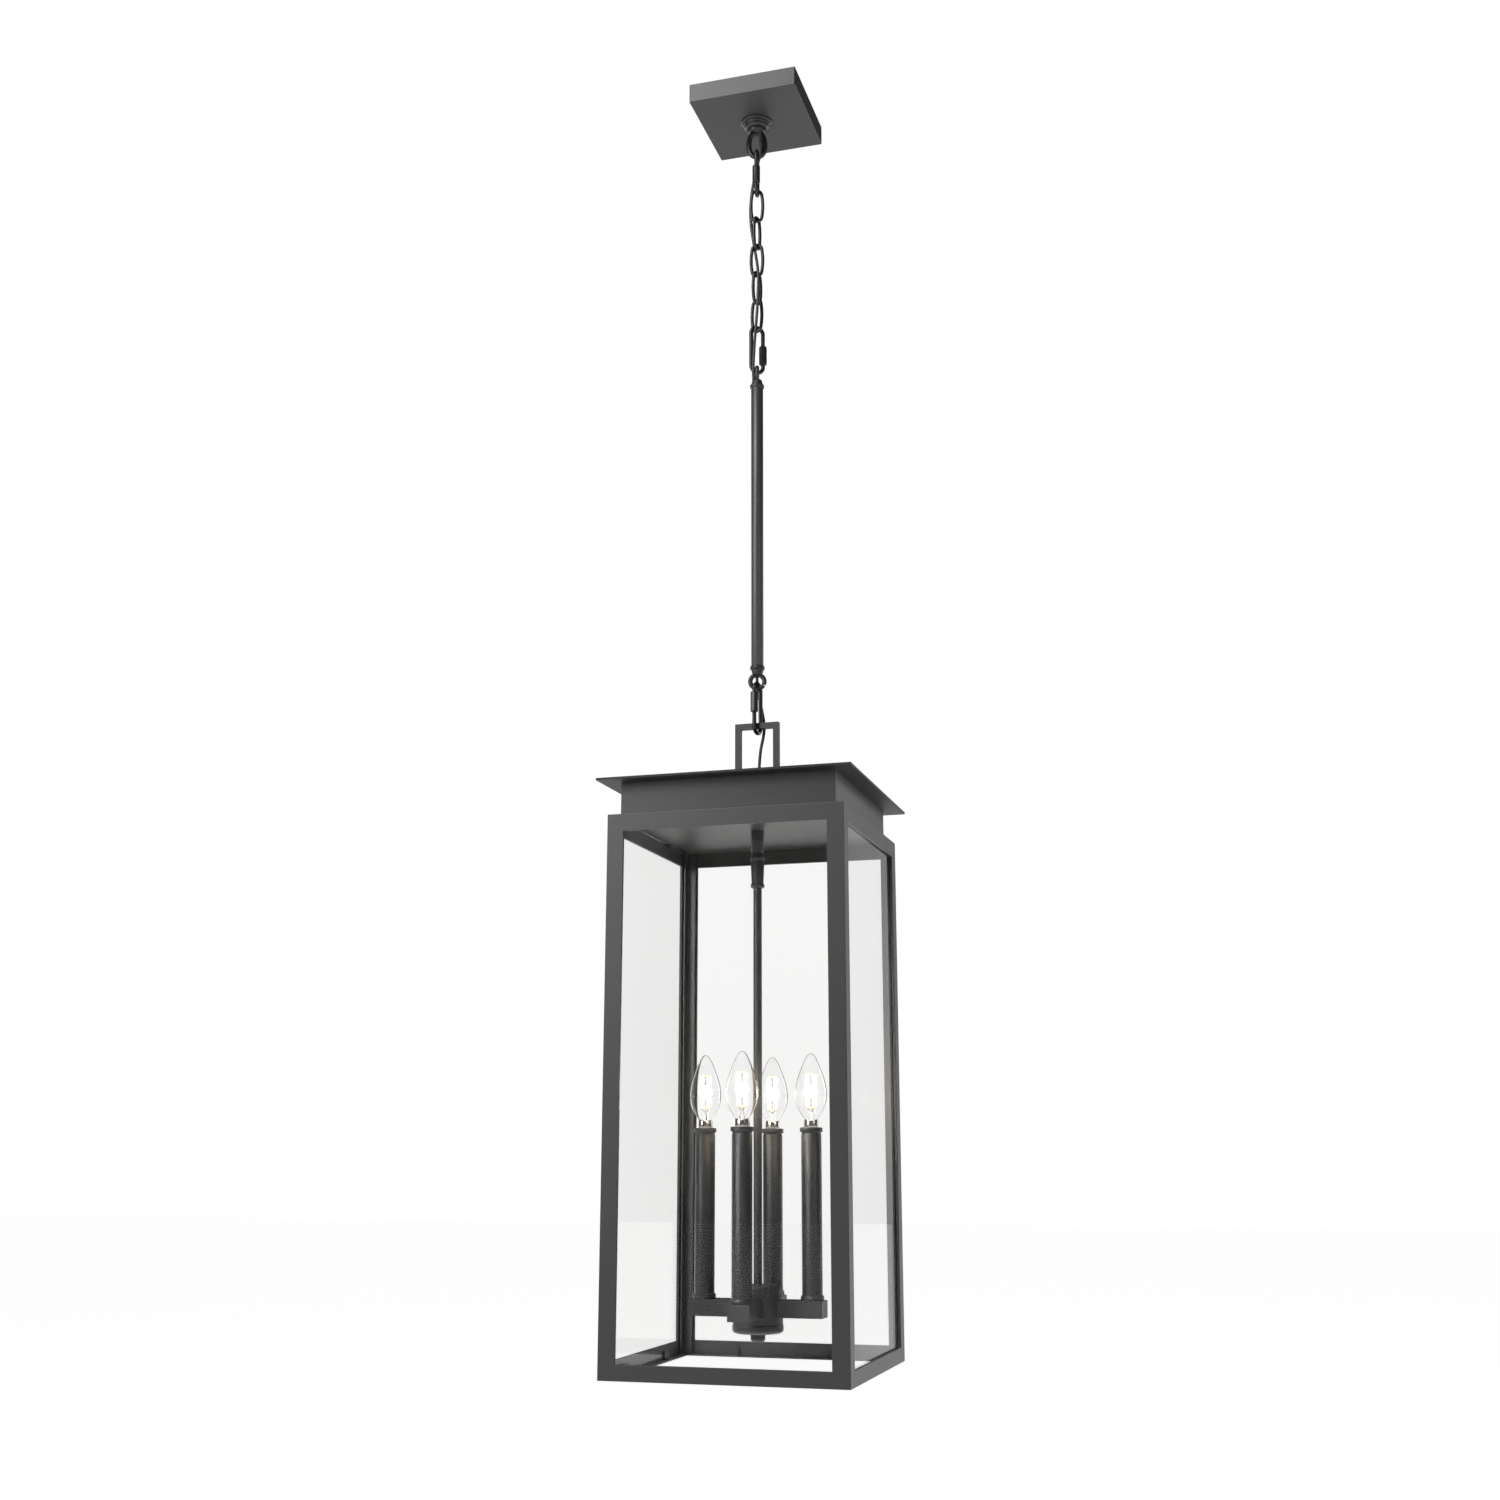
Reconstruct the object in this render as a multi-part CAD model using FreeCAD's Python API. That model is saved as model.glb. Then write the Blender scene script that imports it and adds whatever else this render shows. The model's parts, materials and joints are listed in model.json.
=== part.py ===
import FreeCAD, Part
import math
import os

# Hanging glass lantern: ceiling canopy, loop, chain, rod, bail and a glazed cage with four candle lamps.
# +Z is up. The origin is on the ceiling plane at the centre of the crossbar's screw pattern. All mm.

# --- heights, measured up from the underside of the cage, then moved down by CEILING ---
CEILING = 1526.0

# --- ceiling set ---
CANOPY_SIDE = 136.0
CANOPY_H = 24.5
CANOPY_WALL = 1.2
CANOPY_HOLE_R = 11.6
BAR_LEN = 108.0
BAR_W = 22.0
BAR_T = 2.5
BOX_SCREW_SPACING = 88.9
BOX_SLOT_R = 2.4
BOX_SLOT_LEN = 11.0
NIPPLE_R = 4.85
NIPPLE_BORE_R = 3.2
NIPPLE_TOP = 6.0
NUT_AF = 15.0
NUT_H = 3.5
COLLAR_FLANGE_R = 20.4
COLLAR_FLANGE_H = 2.6
COLLAR_GRIP_R = 16.5
COLLAR_GRIP_H = 7.0
COLLAR_RIBS = 24
BARREL_R = 11.0
BARREL_TOP = -9.0
DOME_R = 11.5
DOME_H = 5.0
LOOP_W = 27.2
LOOP_WIRE = 7.0
LOOP_H = 39.0
LOOP_TURN = 16.0

# --- quick links (wire oval with a threaded sleeve across the gap in one leg) ---
QL_L = 64.5
QL_W = 21.0
QL_D = 5.0
QL_NUT_R = 4.8
QL_NUT_L = 24.0
QL_NUT_AT = 3.5
QL_GAP_AT = 8.0
QL_GAP = 9.0
RUN_FIT = 0.06
QL_TURNS = (100.0, 42.0, 79.0)

# --- chain links ---
LINK_L = 46.0
LINK_W = 18.8
LINK_D = 4.1
LINK_TURNS = (16.0, 76.0, 5.0, 66.0, -20.0)
REST_GAP = 0.25

# --- rod ---
RING_OD = 22.0
RING_D = 5.5
ROD_R = 7.3
ROD_BORE_R = 4.6
ROD_BEAD_R = 8.7
ROD_BEAD_H = 4.0
ROD_NECK_R = 5.6
COUPLING_LEN = 10.0
ROD_LEN = 353.5
ROD_TURNS = (106.0, 16.0)

# --- bail ---
BAIL_BAR = 6.7
BAIL_W = 52.5
BAIL_CLEAR = 2.3

# --- cage ---
CAGE = 266.7
CAGE_H = 590.3
POST_W = 19.0
STEEL = 3.2
TOP_RAIL = 18.8
LOW_RAIL = 16.4
FLANGE_IN = 14.0
GLASS_T = 2.6
GLASS_GAP = 0.1
CEIL_PLATE_T = 1.6
NECK_SIDE = 244.0
NECK_WALL = 2.0
ROOF_SIDE = 288.0
ROOF_T = 2.5
ROOF_TOP = 629.9
CLIP_W = 17.0
CLIP_H = 9.0
CLIP_T = 1.0
CLIP_FOOT = 5.0
CLIP_X = 68.0
TOP_CLIP_X = -82.0
TOP_CLIP_LEN = 50.0
TOP_CLIP_H = 4.0

# --- stem and candle cluster ---
TIE_R = 4.8
TIE_BORE_R = 3.0
KNURL_R = 7.4
KNURL_LOW = 562.6
BEAD_R = 8.4
COUPLER_TOP_R = 7.9
COUPLER_LOW_R = 6.9
COUPLER_LOW = 527.7
BEAD_LOW = 522.6
STEM_R = 4.85
STEM_BORE_R = 3.2
HUB_R = 27.2
HUB_TOP = 88.0
HUB_LOW = 47.7
HUB_WALL = 2.0
HUB_CAP_R = 27.8
HUB_CAP_LOW = 38.4
FINIAL_R = 8.0
FINIAL_LOW = 29.2
ARM_W = 24.5
ARM_LOW = 55.4
ARM_TOP = 73.2
ARM_END = 74.5
CANDLE_AT = 61.0
CUP_R = 12.7
CUP_H = 5.5
SLEEVE_R = 11.1
SLEEVE_WALL = 1.2
SLEEVE_TOP = 255.0
SLEEVE_BEAD_R = 12.5
SLEEVE_BEAD_H = 5.0
SOCKET_R = 9.4
SOCKET_BORE_R = 6.7
SOCKET_LOW = 224.0
SOCKET_TOP = 250.0
SOCKET_FLOOR = 3.0
POST_TUBE_R = 4.8
BULB_SHELL_R = 6.2
BULB_COLLAR_R = 8.3
BULB_COLLAR_LOW = 251.0
BULB_COLLAR_TOP = 263.0
BULB_TIP = 335.2
BULB_WALL = 0.9
FILAMENT_LEN = 34.0
FILAMENT_R = 0.6
FILAMENT_AT = 4.2

# --- wires ---
LEAD_R = 1.8
VIEW_TURN = 16.3

ZAX = FreeCAD.Vector(0, 0, 1)
os.makedirs("parts", exist_ok=True)


def vec(x, y, z):
    return FreeCAD.Vector(x, y, z)


def save(name, shape):
    """Write one node; heights given from the cage's underside are moved below the ceiling plane."""
    out = shape.copy()
    out.translate(vec(0, 0, -CEILING))
    out.exportStep("parts/" + name + ".step")
    print(name, len(out.Solids), round(out.Volume, 1), out.isValid())


def cyl(r, z0, z1, x=0.0, y=0.0):
    return Part.makeCylinder(r, z1 - z0, vec(x, y, z0))


def cone(r0, r1, z0, z1, x=0.0, y=0.0):
    return Part.makeCone(r0, r1, z1 - z0, vec(x, y, z0))


def tube(r, bore, z0, z1, x=0.0, y=0.0):
    return cyl(r, z0, z1, x, y).cut(cyl(bore, z0 - 1, z1 + 1, x, y))


def block(x0, x1, y0, y1, z0, z1):
    return Part.makeBox(x1 - x0, y1 - y0, z1 - z0, vec(x0, y0, z0))


def turned(shape, degrees):
    out = shape.copy()
    out.rotate(vec(0, 0, 0), ZAX, degrees)
    return out


def fuse(shapes):
    return shapes[0].multiFuse(shapes[1:]).removeSplitter()


def group(shapes):
    return Part.makeCompound(shapes)


def four(shape):
    """The same solid on all four sides."""
    return [turned(shape, 90 * i) for i in range(4)]


def round_edges(shape, radius, test):
    edges = [e for e in shape.Edges if test(e)]
    return shape.makeFillet(radius, edges)


def bead(r, z0, z1):
    """Round-edged disc."""
    h = (z1 - z0) / 2
    disc = cyl(r, z0, z1)
    return disc.makeFillet(h * 0.8, [e for e in disc.Edges if e.Length > 2 * math.pi * r * 0.9])


def hex_nut(across, z0, z1, bore):
    r = across / math.sqrt(3)
    pts = [vec(r * math.cos(math.pi / 3 * i), r * math.sin(math.pi / 3 * i), z0) for i in range(7)]
    body = Part.Face(Part.makePolygon(pts)).extrude(vec(0, 0, z1 - z0))
    return body.cut(cyl(bore, z0 - 1, z1 + 1))


def half_ring(big, wire, z, upper):
    """Half a wire ring standing in the XZ plane, open side down if upper."""
    start = vec(big, 0, z)
    mid = vec(0, 0, z + (big if upper else -big))
    end = vec(-big, 0, z)
    path = Part.Wire([Part.Arc(start, mid, end).toShape()])
    profile = Part.Wire([Part.makeCircle(wire / 2, start, ZAX)])
    return path.makePipeShell([profile], True, False)


def oval(length, width, wire, top):
    """A closed wire oval in the XZ plane with its outer top at the given height."""
    big = (width - wire) / 2
    high = top - width / 2
    low = top - length + width / 2
    parts = [half_ring(big, wire, high, True), half_ring(big, wire, low, False)]
    parts += [cyl(wire / 2, low, high, big), cyl(wire / 2, low, high, -big)]
    return fuse(parts)


def arc_centres(length, width, top):
    return top - width / 2, top - length + width / 2


# --- stack of hanging pieces, from the loop down ---
loop_top = CEILING - CANOPY_H - COLLAR_FLANGE_H - COLLAR_GRIP_H - DOME_H + LOOP_WIRE / 2
loop_low = loop_top - LOOP_H
ql_top_z = loop_low + LOOP_WIRE + REST_GAP + QL_D
z = ql_top_z - QL_L + QL_D + REST_GAP + LINK_D
link_tops = []
for _ in LINK_TURNS:
    link_tops.append(z)
    z = z - LINK_L + 2 * LINK_D + REST_GAP
ql_mid_z = link_tops[-1] - LINK_L + LINK_D + REST_GAP + QL_D
ring_top_z = ql_mid_z - QL_L + QL_D + REST_GAP + RING_D
rod_top = ring_top_z - RING_OD + RING_D / 2 - COUPLING_LEN
rod_low = rod_top - ROD_LEN
ring_low_top = rod_low - COUPLING_LEN + RING_D / 2
ql_low_z = ring_low_top - RING_OD + RING_D + REST_GAP + QL_D
bail_low = ql_low_z - QL_L + QL_D + BAIL_CLEAR
bail_top = bail_low + BAIL_BAR
print("stack", round(ql_top_z, 2), [round(t, 2) for t in link_tops])
print("stack", round(ql_mid_z, 2), round(ring_top_z, 2))
print("stack", round(rod_top, 2), round(rod_low, 2), round(ring_low_top, 2), round(ql_low_z, 2))
print("stack", round(bail_top, 2))


def seen(right, back, z_):
    """A point given to the right of and behind the axis, as seen by someone facing the near corner."""
    a = math.radians(VIEW_TURN)
    return vec(right * math.cos(a) - back * math.sin(a), right * math.sin(a) + back * math.cos(a), z_)


LEAD_HOLE_R = 2.1
DOME_HOLE = seen(4.0, -6.4, 0)
ROD_IN = seen(-4.0, -3.6, rod_top + 0.9)
ROD_IN_FROM = seen(-5.2, -7.8, rod_top + 18.0)
ROD_OUT = seen(-0.4, 5.4, rod_low - 0.9)
ROD_OUT_TO = seen(-0.6, 10.6, rod_low - 18.0)
ROOF_IN = seen(2.1, 12.5, 0)


def lead_hole(end, towards):
    """A drilled hole along the lead's last run, from its end outwards."""
    run = towards - end
    return Part.makeCylinder(LEAD_HOLE_R, run.Length * 0.8, end - run * 0.005, run)


# --- ceiling set ---
def canopy():
    z0, z1 = CEILING - CANOPY_H, CEILING
    h = CANOPY_SIDE / 2
    outer = block(-h, h, -h, h, z0, z1)
    outer = round_edges(outer, 1.0, lambda e: abs(e.BoundBox.ZMax - z0) < 0.01 or e.BoundBox.ZLength > 5)
    w = CANOPY_WALL
    inner = block(-h + w, h - w, -h + w, h - w, z0 + w, z1 + 1)
    return outer.cut(inner).cut(cyl(CANOPY_HOLE_R, z0 - 1, z0 + 3))


def crossbar():
    z0, z1 = CEILING - BAR_T, CEILING
    bar = block(-BAR_LEN / 2, BAR_LEN / 2, -BAR_W / 2, BAR_W / 2, z0, z1)
    bar = round_edges(bar, 4.0, lambda e: e.BoundBox.ZLength > 1)
    bar = bar.cut(cyl(NIPPLE_R + 0.05, z0 - 1, z1 + 1))
    half = BOX_SLOT_LEN / 2 - BOX_SLOT_R
    for s in (-1, 1):
        c = s * BOX_SCREW_SPACING / 2
        bar = bar.cut(block(c - half, c + half, -BOX_SLOT_R, BOX_SLOT_R, z0 - 1, z1 + 1))
        bar = bar.cut(cyl(BOX_SLOT_R, z0 - 1, z1 + 1, c - half))
        bar = bar.cut(cyl(BOX_SLOT_R, z0 - 1, z1 + 1, c + half))
    return bar


def ground_screw():
    x = 24.0
    z1 = CEILING - BAR_T
    head = cyl(4.0, z1 - 2.2, z1, x)
    return head.cut(block(x - 5, x + 5, -0.5, 0.5, z1 - 3, z1 - 1.2))


def nipple():
    return tube(NIPPLE_R, NIPPLE_BORE_R, CEILING - CANOPY_H - 6, CEILING + NIPPLE_TOP)


def nipple_nuts():
    low = hex_nut(NUT_AF, CEILING - BAR_T - NUT_H, CEILING - BAR_T, NIPPLE_R)
    high = hex_nut(NUT_AF, CEILING, CEILING + NUT_H, NIPPLE_R)
    return group([low, high])


def screw_collar():
    z1 = CEILING - CANOPY_H
    flange = cyl(COLLAR_FLANGE_R, z1 - COLLAR_FLANGE_H, z1)
    grip = cyl(COLLAR_GRIP_R, z1 - COLLAR_FLANGE_H - COLLAR_GRIP_H, z1 - COLLAR_FLANGE_H)
    body = fuse([flange, grip])
    z0 = z1 - COLLAR_FLANGE_H - COLLAR_GRIP_H
    cuts = []
    for i in range(COLLAR_RIBS):
        a = 2 * math.pi * i / COLLAR_RIBS
        r = COLLAR_GRIP_R + 0.4
        cuts.append(cyl(0.9, z0 - 1, z1 - COLLAR_FLANGE_H, r * math.cos(a), r * math.sin(a)))
    return body.cut(group(cuts)).cut(cyl(BARREL_R + 0.05, z0 - 1, z1 + 1))


def collar_loop():
    barrel_low = CEILING - CANOPY_H - COLLAR_FLANGE_H - COLLAR_GRIP_H
    barrel = cyl(BARREL_R, barrel_low, CEILING + BARREL_TOP)
    dome = cone(DOME_R * 0.72, DOME_R, barrel_low - DOME_H, barrel_low)
    ring = turned(oval(LOOP_H, LOOP_W, LOOP_WIRE, loop_top), LOOP_TURN)
    body = fuse([barrel, dome, ring])
    body = body.cut(cyl(NIPPLE_R, CEILING - CANOPY_H - 6, CEILING + 1))
    return body.cut(cyl(LEAD_HOLE_R, barrel_low - DOME_H - 1, CEILING, DOME_HOLE.x, DOME_HOLE.y))


# --- chain and quick links ---
def leg_span(top, start, length, flip):
    """Heights of a stretch of leg, up from the lower bend, or down from the upper bend if flipped."""
    high, low = arc_centres(QL_L, QL_W, top)
    if flip:
        return high - start - length, high - start
    return low + start, low + start + length


def quick_link(top, turn, side, flip):
    """Wire oval; the leg on the given side has a gap that the sleeve nut bridges."""
    body = oval(QL_L, QL_W, QL_D, top)
    z0, z1 = leg_span(top, QL_GAP_AT, QL_GAP, flip)
    x = side * (QL_W - QL_D) / 2
    gap = block(x - QL_D, x + QL_D, -QL_D, QL_D, z0, z1)
    return turned(body.cut(gap), turn)


def quick_nut(top, turn, side, flip):
    z0, z1 = leg_span(top, QL_NUT_AT, QL_NUT_L, flip)
    x = side * (QL_W - QL_D) / 2
    nut = cyl(QL_NUT_R, z0, z1, x)
    nut = nut.makeChamfer(0.7, [e for e in nut.Edges if abs(e.Length - 2 * math.pi * QL_NUT_R) < 0.1])
    return turned(nut.cut(cyl(QL_D / 2 + RUN_FIT, z0 - 1, z1 + 1, x)), turn)


def chain_link(top, turn):
    return turned(oval(LINK_L, LINK_W, LINK_D, top), turn)


# --- rod ---
def rod_end(top, turn):
    """Ring, tapered neck, bead and plug; built with the ring up and its outer top at the given height."""
    ring_c = top - RING_OD / 2
    big = (RING_OD - RING_D) / 2
    ring = Part.makeTorus(big, RING_D / 2, vec(0, 0, ring_c), vec(0, 1, 0))
    neck_top = top - RING_OD + RING_D / 2
    neck = cone(ROD_BEAD_R - 0.7, ROD_NECK_R, neck_top - COUPLING_LEN + ROD_BEAD_H, neck_top)
    base = bead(ROD_BEAD_R, neck_top - COUPLING_LEN, neck_top - COUPLING_LEN + ROD_BEAD_H)
    plug = cyl(ROD_BORE_R - 0.02, neck_top - COUPLING_LEN - 12, neck_top - COUPLING_LEN + 1)
    return turned(fuse([ring, neck, base, plug]), turn)


def rod_top_ring():
    return rod_end(ring_top_z, ROD_TURNS[0]).cut(lead_hole(ROD_IN, ROD_IN_FROM))


def rod_tube():
    return tube(ROD_R, ROD_BORE_R, rod_low, rod_top)


def rod_low_ring():
    """The same fitting turned over and hung under the rod."""
    body = rod_end(0, -ROD_TURNS[1])
    body.rotate(vec(0, 0, 0), vec(1, 0, 0), 180)
    body.translate(vec(0, 0, ring_low_top - RING_OD))
    return body.cut(lead_hole(ROD_OUT, ROD_OUT_TO))


# --- roof and cage ---
def bail():
    h = BAIL_W / 2
    outer = block(-h, h, -BAIL_BAR / 2, BAIL_BAR / 2, ROOF_TOP, bail_top)
    inner = block(-h + BAIL_BAR, h - BAIL_BAR, -BAIL_BAR, BAIL_BAR, ROOF_TOP - 1, bail_low)
    return outer.cut(inner)


def roof():
    h = ROOF_SIDE / 2
    plate = block(-h, h, -h, h, ROOF_TOP - ROOF_T, ROOF_TOP)
    plate = plate.cut(cyl(TIE_R, ROOF_TOP - 5, ROOF_TOP + 1))
    return plate.cut(cyl(LEAD_HOLE_R + 0.5, ROOF_TOP - 5, ROOF_TOP + 1, ROOF_IN.x, ROOF_IN.y))


def neck_box():
    h = NECK_SIDE / 2
    w = h - NECK_WALL
    outer = block(-h, h, -h, h, CAGE_H, ROOF_TOP - ROOF_T)
    return outer.cut(block(-w, w, -w, w, CAGE_H - 1, ROOF_TOP))


def ceiling_plate():
    h = CAGE / 2 - STEEL
    plate = block(-h, h, -h, h, CAGE_H - CEIL_PLATE_T, CAGE_H)
    return plate.cut(cyl(TIE_R, CAGE_H - 5, CAGE_H + 1))


def cage_posts():
    h = CAGE / 2
    leg = block(-h, -h + POST_W, -h, -h + STEEL, 0, CAGE_H)
    side = block(-h, -h + STEEL, -h, -h + POST_W, 0, CAGE_H)
    return group(four(fuse([leg, side])))


def rails(z0, z1, flange):
    h = CAGE / 2
    bar = block(-h + POST_W, h - POST_W, -h, -h + STEEL, z0, z1)
    if not flange:
        return four(bar)
    inner = -h + FLANGE_IN
    reach = h - STEEL
    pts = [vec(-reach, -reach, z0), vec(reach, -reach, z0), vec(-inner, inner, z0), vec(inner, inner, z0)]
    shelf = Part.Face(Part.makePolygon(pts + [pts[0]])).extrude(vec(0, 0, STEEL / 2))
    return four(fuse([bar, shelf]))


def glass_panes():
    """Front and back panes run the full inside width; the side panes stand between them."""
    h = CAGE / 2 - STEEL - GLASS_GAP
    z0, z1 = STEEL / 2 + GLASS_GAP, CAGE_H - CEIL_PLATE_T - GLASS_GAP
    front = block(-h, h, -h, -h + GLASS_T, z0, z1)
    w = h - GLASS_T - GLASS_GAP
    left = block(-h, -h + GLASS_T, -w, w, z0, z1)
    return {
        "glass_front": front,
        "glass_back": turned(front, 180),
        "glass_left": left,
        "glass_right": turned(left, 180),
    }


def clips():
    """Bent tabs behind the panes: short ones on the lower shelf, long ones under the ceiling plate."""
    inside = -(CAGE / 2 - STEEL - 2 * GLASS_GAP - GLASS_T)
    out = []
    for x in (-CLIP_X, CLIP_X):
        z0 = STEEL / 2
        foot = block(x - CLIP_W / 2, x + CLIP_W / 2, inside, inside + CLIP_FOOT, z0, z0 + CLIP_T)
        tab = block(x - CLIP_W / 2, x + CLIP_W / 2, inside, inside + CLIP_T, z0, z0 + CLIP_H)
        out += four(fuse([foot, tab]))
    z1 = CAGE_H - CEIL_PLATE_T
    x0 = TOP_CLIP_X - TOP_CLIP_LEN / 2
    x1 = TOP_CLIP_X + TOP_CLIP_LEN / 2
    foot = block(x0, x1, inside, inside + CLIP_FOOT, z1 - CLIP_T, z1)
    tab = block(x0, x1, inside, inside + CLIP_T, z1 - TOP_CLIP_H, z1)
    out += four(fuse([foot, tab]))
    return group(out)


# --- stem and cluster ---
def tie_tube():
    return tube(TIE_R, TIE_BORE_R, KNURL_LOW, ROOF_TOP + 9)


def tie_nuts():
    high = hex_nut(NUT_AF, ROOF_TOP, ROOF_TOP + 5, TIE_R)
    mid = hex_nut(NUT_AF, CAGE_H, CAGE_H + 4, TIE_R)
    return group([high, mid])


def stem_nut():
    """Knurled locknut under the ceiling plate."""
    top = CAGE_H - CEIL_PLATE_T
    body = cyl(KNURL_R, KNURL_LOW, top)
    cuts = []
    for i in range(18):
        a = 2 * math.pi * i / 18
        cuts.append(cyl(0.5, KNURL_LOW - 1, top - 4, KNURL_R * math.cos(a), KNURL_R * math.sin(a)))
    return body.cut(group(cuts)).cut(cyl(TIE_R, KNURL_LOW - 1, top + 1))


def stem_coupling():
    mid = KNURL_LOW - 9.4
    body = fuse([
        bead(BEAD_R, mid, KNURL_LOW),
        cone(COUPLER_LOW_R, COUPLER_TOP_R, COUPLER_LOW, mid),
        bead(COUPLER_LOW_R + 1.0, BEAD_LOW, COUPLER_LOW),
    ])
    body = body.cut(cyl(STEM_R, BEAD_LOW - 1, COUPLER_LOW + 10))
    return body.cut(cyl(TIE_BORE_R, BEAD_LOW, KNURL_LOW + 1))


def stem_tube():
    return tube(STEM_R, STEM_BORE_R, HUB_TOP - 6, COUPLER_LOW + 10)


def hub():
    h = HUB_TOP
    body = cyl(HUB_R, HUB_LOW, h)
    body = round_edges(body, 3.0, lambda e: abs(e.BoundBox.ZMin - h) < 0.01)
    body = body.cut(cyl(HUB_R - HUB_WALL, HUB_LOW - 1, h - HUB_WALL))
    body = body.cut(cyl(STEM_R, h - 5, h + 1))
    w = ARM_W / 2
    slots = [block(HUB_R - 6, HUB_R + 6, -w, w, ARM_LOW, ARM_TOP)]
    return body.cut(group([turned(s, 90 * i) for s in slots for i in range(4)]))


def hub_nut():
    return hex_nut(NUT_AF, HUB_TOP - HUB_WALL - 3.5, HUB_TOP - HUB_WALL, STEM_R)


def hub_cap():
    cap = cyl(HUB_CAP_R, HUB_CAP_LOW, HUB_LOW)
    return round_edges(cap, 2.0, lambda e: e.BoundBox.ZMax < HUB_CAP_LOW + 0.1)


def finial():
    body = cyl(FINIAL_R, FINIAL_LOW, HUB_CAP_LOW)
    return round_edges(body, 2.2, lambda e: e.BoundBox.ZMax < FINIAL_LOW + 0.1)


def arms():
    w = ARM_W / 2
    outer = block(HUB_R - HUB_WALL - 4, ARM_END, -w, w, ARM_LOW, ARM_TOP)
    inner = block(HUB_R - HUB_WALL - 5, ARM_END - 1.6, -w + 1.6, w - 1.6, ARM_LOW + 1.6, ARM_TOP - 1.6)
    arm = outer.cut(inner).cut(cyl(POST_TUBE_R, ARM_TOP - 5, ARM_TOP + 1, CANDLE_AT))
    return group(four(arm))


def candle_cups():
    cup = cyl(CUP_R, ARM_TOP, ARM_TOP + CUP_H, CANDLE_AT)
    cup = round_edges(cup, 1.0, lambda e: e.BoundBox.ZMin > ARM_TOP + CUP_H - 0.1)
    return group(four(cup.cut(cyl(POST_TUBE_R, ARM_TOP - 1, ARM_TOP + CUP_H + 1, CANDLE_AT))))


def candle_sleeves():
    z0 = ARM_TOP + CUP_H
    sleeve = tube(SLEEVE_R, SLEEVE_R - SLEEVE_WALL, z0, SLEEVE_TOP, CANDLE_AT)
    bore = SLEEVE_R - SLEEVE_WALL
    bead_ring = tube(SLEEVE_BEAD_R, bore, SLEEVE_TOP - SLEEVE_BEAD_H, SLEEVE_TOP, CANDLE_AT)
    bead_ring = round_edges(bead_ring, 0.9, lambda e: e.BoundBox.XLength > 2 * SLEEVE_BEAD_R - 0.5)
    return group(four(fuse([sleeve, bead_ring])))


def sockets():
    """Threaded post through the arm, carrying the lamp socket inside the sleeve."""
    post = cyl(POST_TUBE_R, ARM_TOP - 8, SOCKET_LOW, CANDLE_AT)
    cup = cyl(SOCKET_R, SOCKET_LOW, SOCKET_TOP, CANDLE_AT)
    bore = cyl(SOCKET_BORE_R, SOCKET_LOW + SOCKET_FLOOR, SOCKET_TOP + 1, CANDLE_AT)
    return group(four(fuse([post, cup]).cut(bore)))


def bulb_profile(shrink):
    """Outline of the lamp's glass from the collar up to its blunt tip."""
    curve = Part.BSplineCurve()
    top = BULB_TIP - BULB_COLLAR_TOP
    shape = ((7.4, 0.0), (11.8, 0.1), (15.9, 0.22), (17.5, 0.37), (16.6, 0.52), (13.2, 0.7), (8.9, 0.86),
             (5.0, 0.96), (0.0, 1.0))
    pts = []
    for r, f in shape:
        rr = max(r - shrink, 0.0)
        hh = BULB_COLLAR_TOP + f * top - (shrink if f > 0.9 else 0.0)
        pts.append(vec(rr, 0, hh))
    curve.interpolate(pts)
    return curve


def bulb_solid(shrink):
    curve = bulb_profile(shrink)
    a, b = curve.StartPoint, curve.EndPoint
    foot = vec(0, 0, a.z)
    edges = [curve.toShape(), Part.makeLine(b, foot), Part.makeLine(foot, a)]
    return Part.Face(Part.Wire(edges)).revolve(vec(0, 0, 0), ZAX, 360)


def bulb_glass():
    return bulb_solid(0.0).cut(bulb_solid(BULB_WALL))


def bulb_base():
    """Screw shell, tip contact and the bright collar under the glass, with the glass mount on top."""
    floor = SOCKET_LOW + SOCKET_FLOOR
    tip = cyl(2.6, floor + 0.3, floor + 2.5)
    shell = cyl(BULB_SHELL_R, floor + 2.0, BULB_COLLAR_LOW)
    collar = cyl(BULB_COLLAR_R, BULB_COLLAR_LOW, BULB_COLLAR_TOP)
    collar = round_edges(collar, 0.6, lambda e: e.BoundBox.ZMin > BULB_COLLAR_TOP - 0.1)
    rings = [Part.makeTorus(BULB_SHELL_R - 0.3, 0.6, vec(0, 0, floor + 5 + 3.2 * i)) for i in range(5)]
    return fuse([tip, shell, collar] + rings)


def bulb_core():
    """Inner glass mount with the four upright filaments and their carriers, as one solid."""
    z0 = BULB_COLLAR_TOP
    mount = cone(3.2, 1.4, z0, z0 + 13)
    low = z0 + 14.5
    disc_low = cyl(FILAMENT_AT + 0.9, low - 2.0, low - 1.2)
    disc_top = cyl(FILAMENT_AT + 0.9, low + FILAMENT_LEN + 0.4, low + FILAMENT_LEN + 1.2)
    spine = cyl(0.5, z0 + 12, low + FILAMENT_LEN + 1.0)
    rods = []
    for i in range(4):
        a = math.radians(45 + 90 * i)
        x, y = FILAMENT_AT * math.cos(a), FILAMENT_AT * math.sin(a)
        rods.append(cyl(FILAMENT_R, low - 1.6, low + FILAMENT_LEN + 0.8, x, y))
    return fuse([mount, disc_low, disc_top, spine] + rods)


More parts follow.
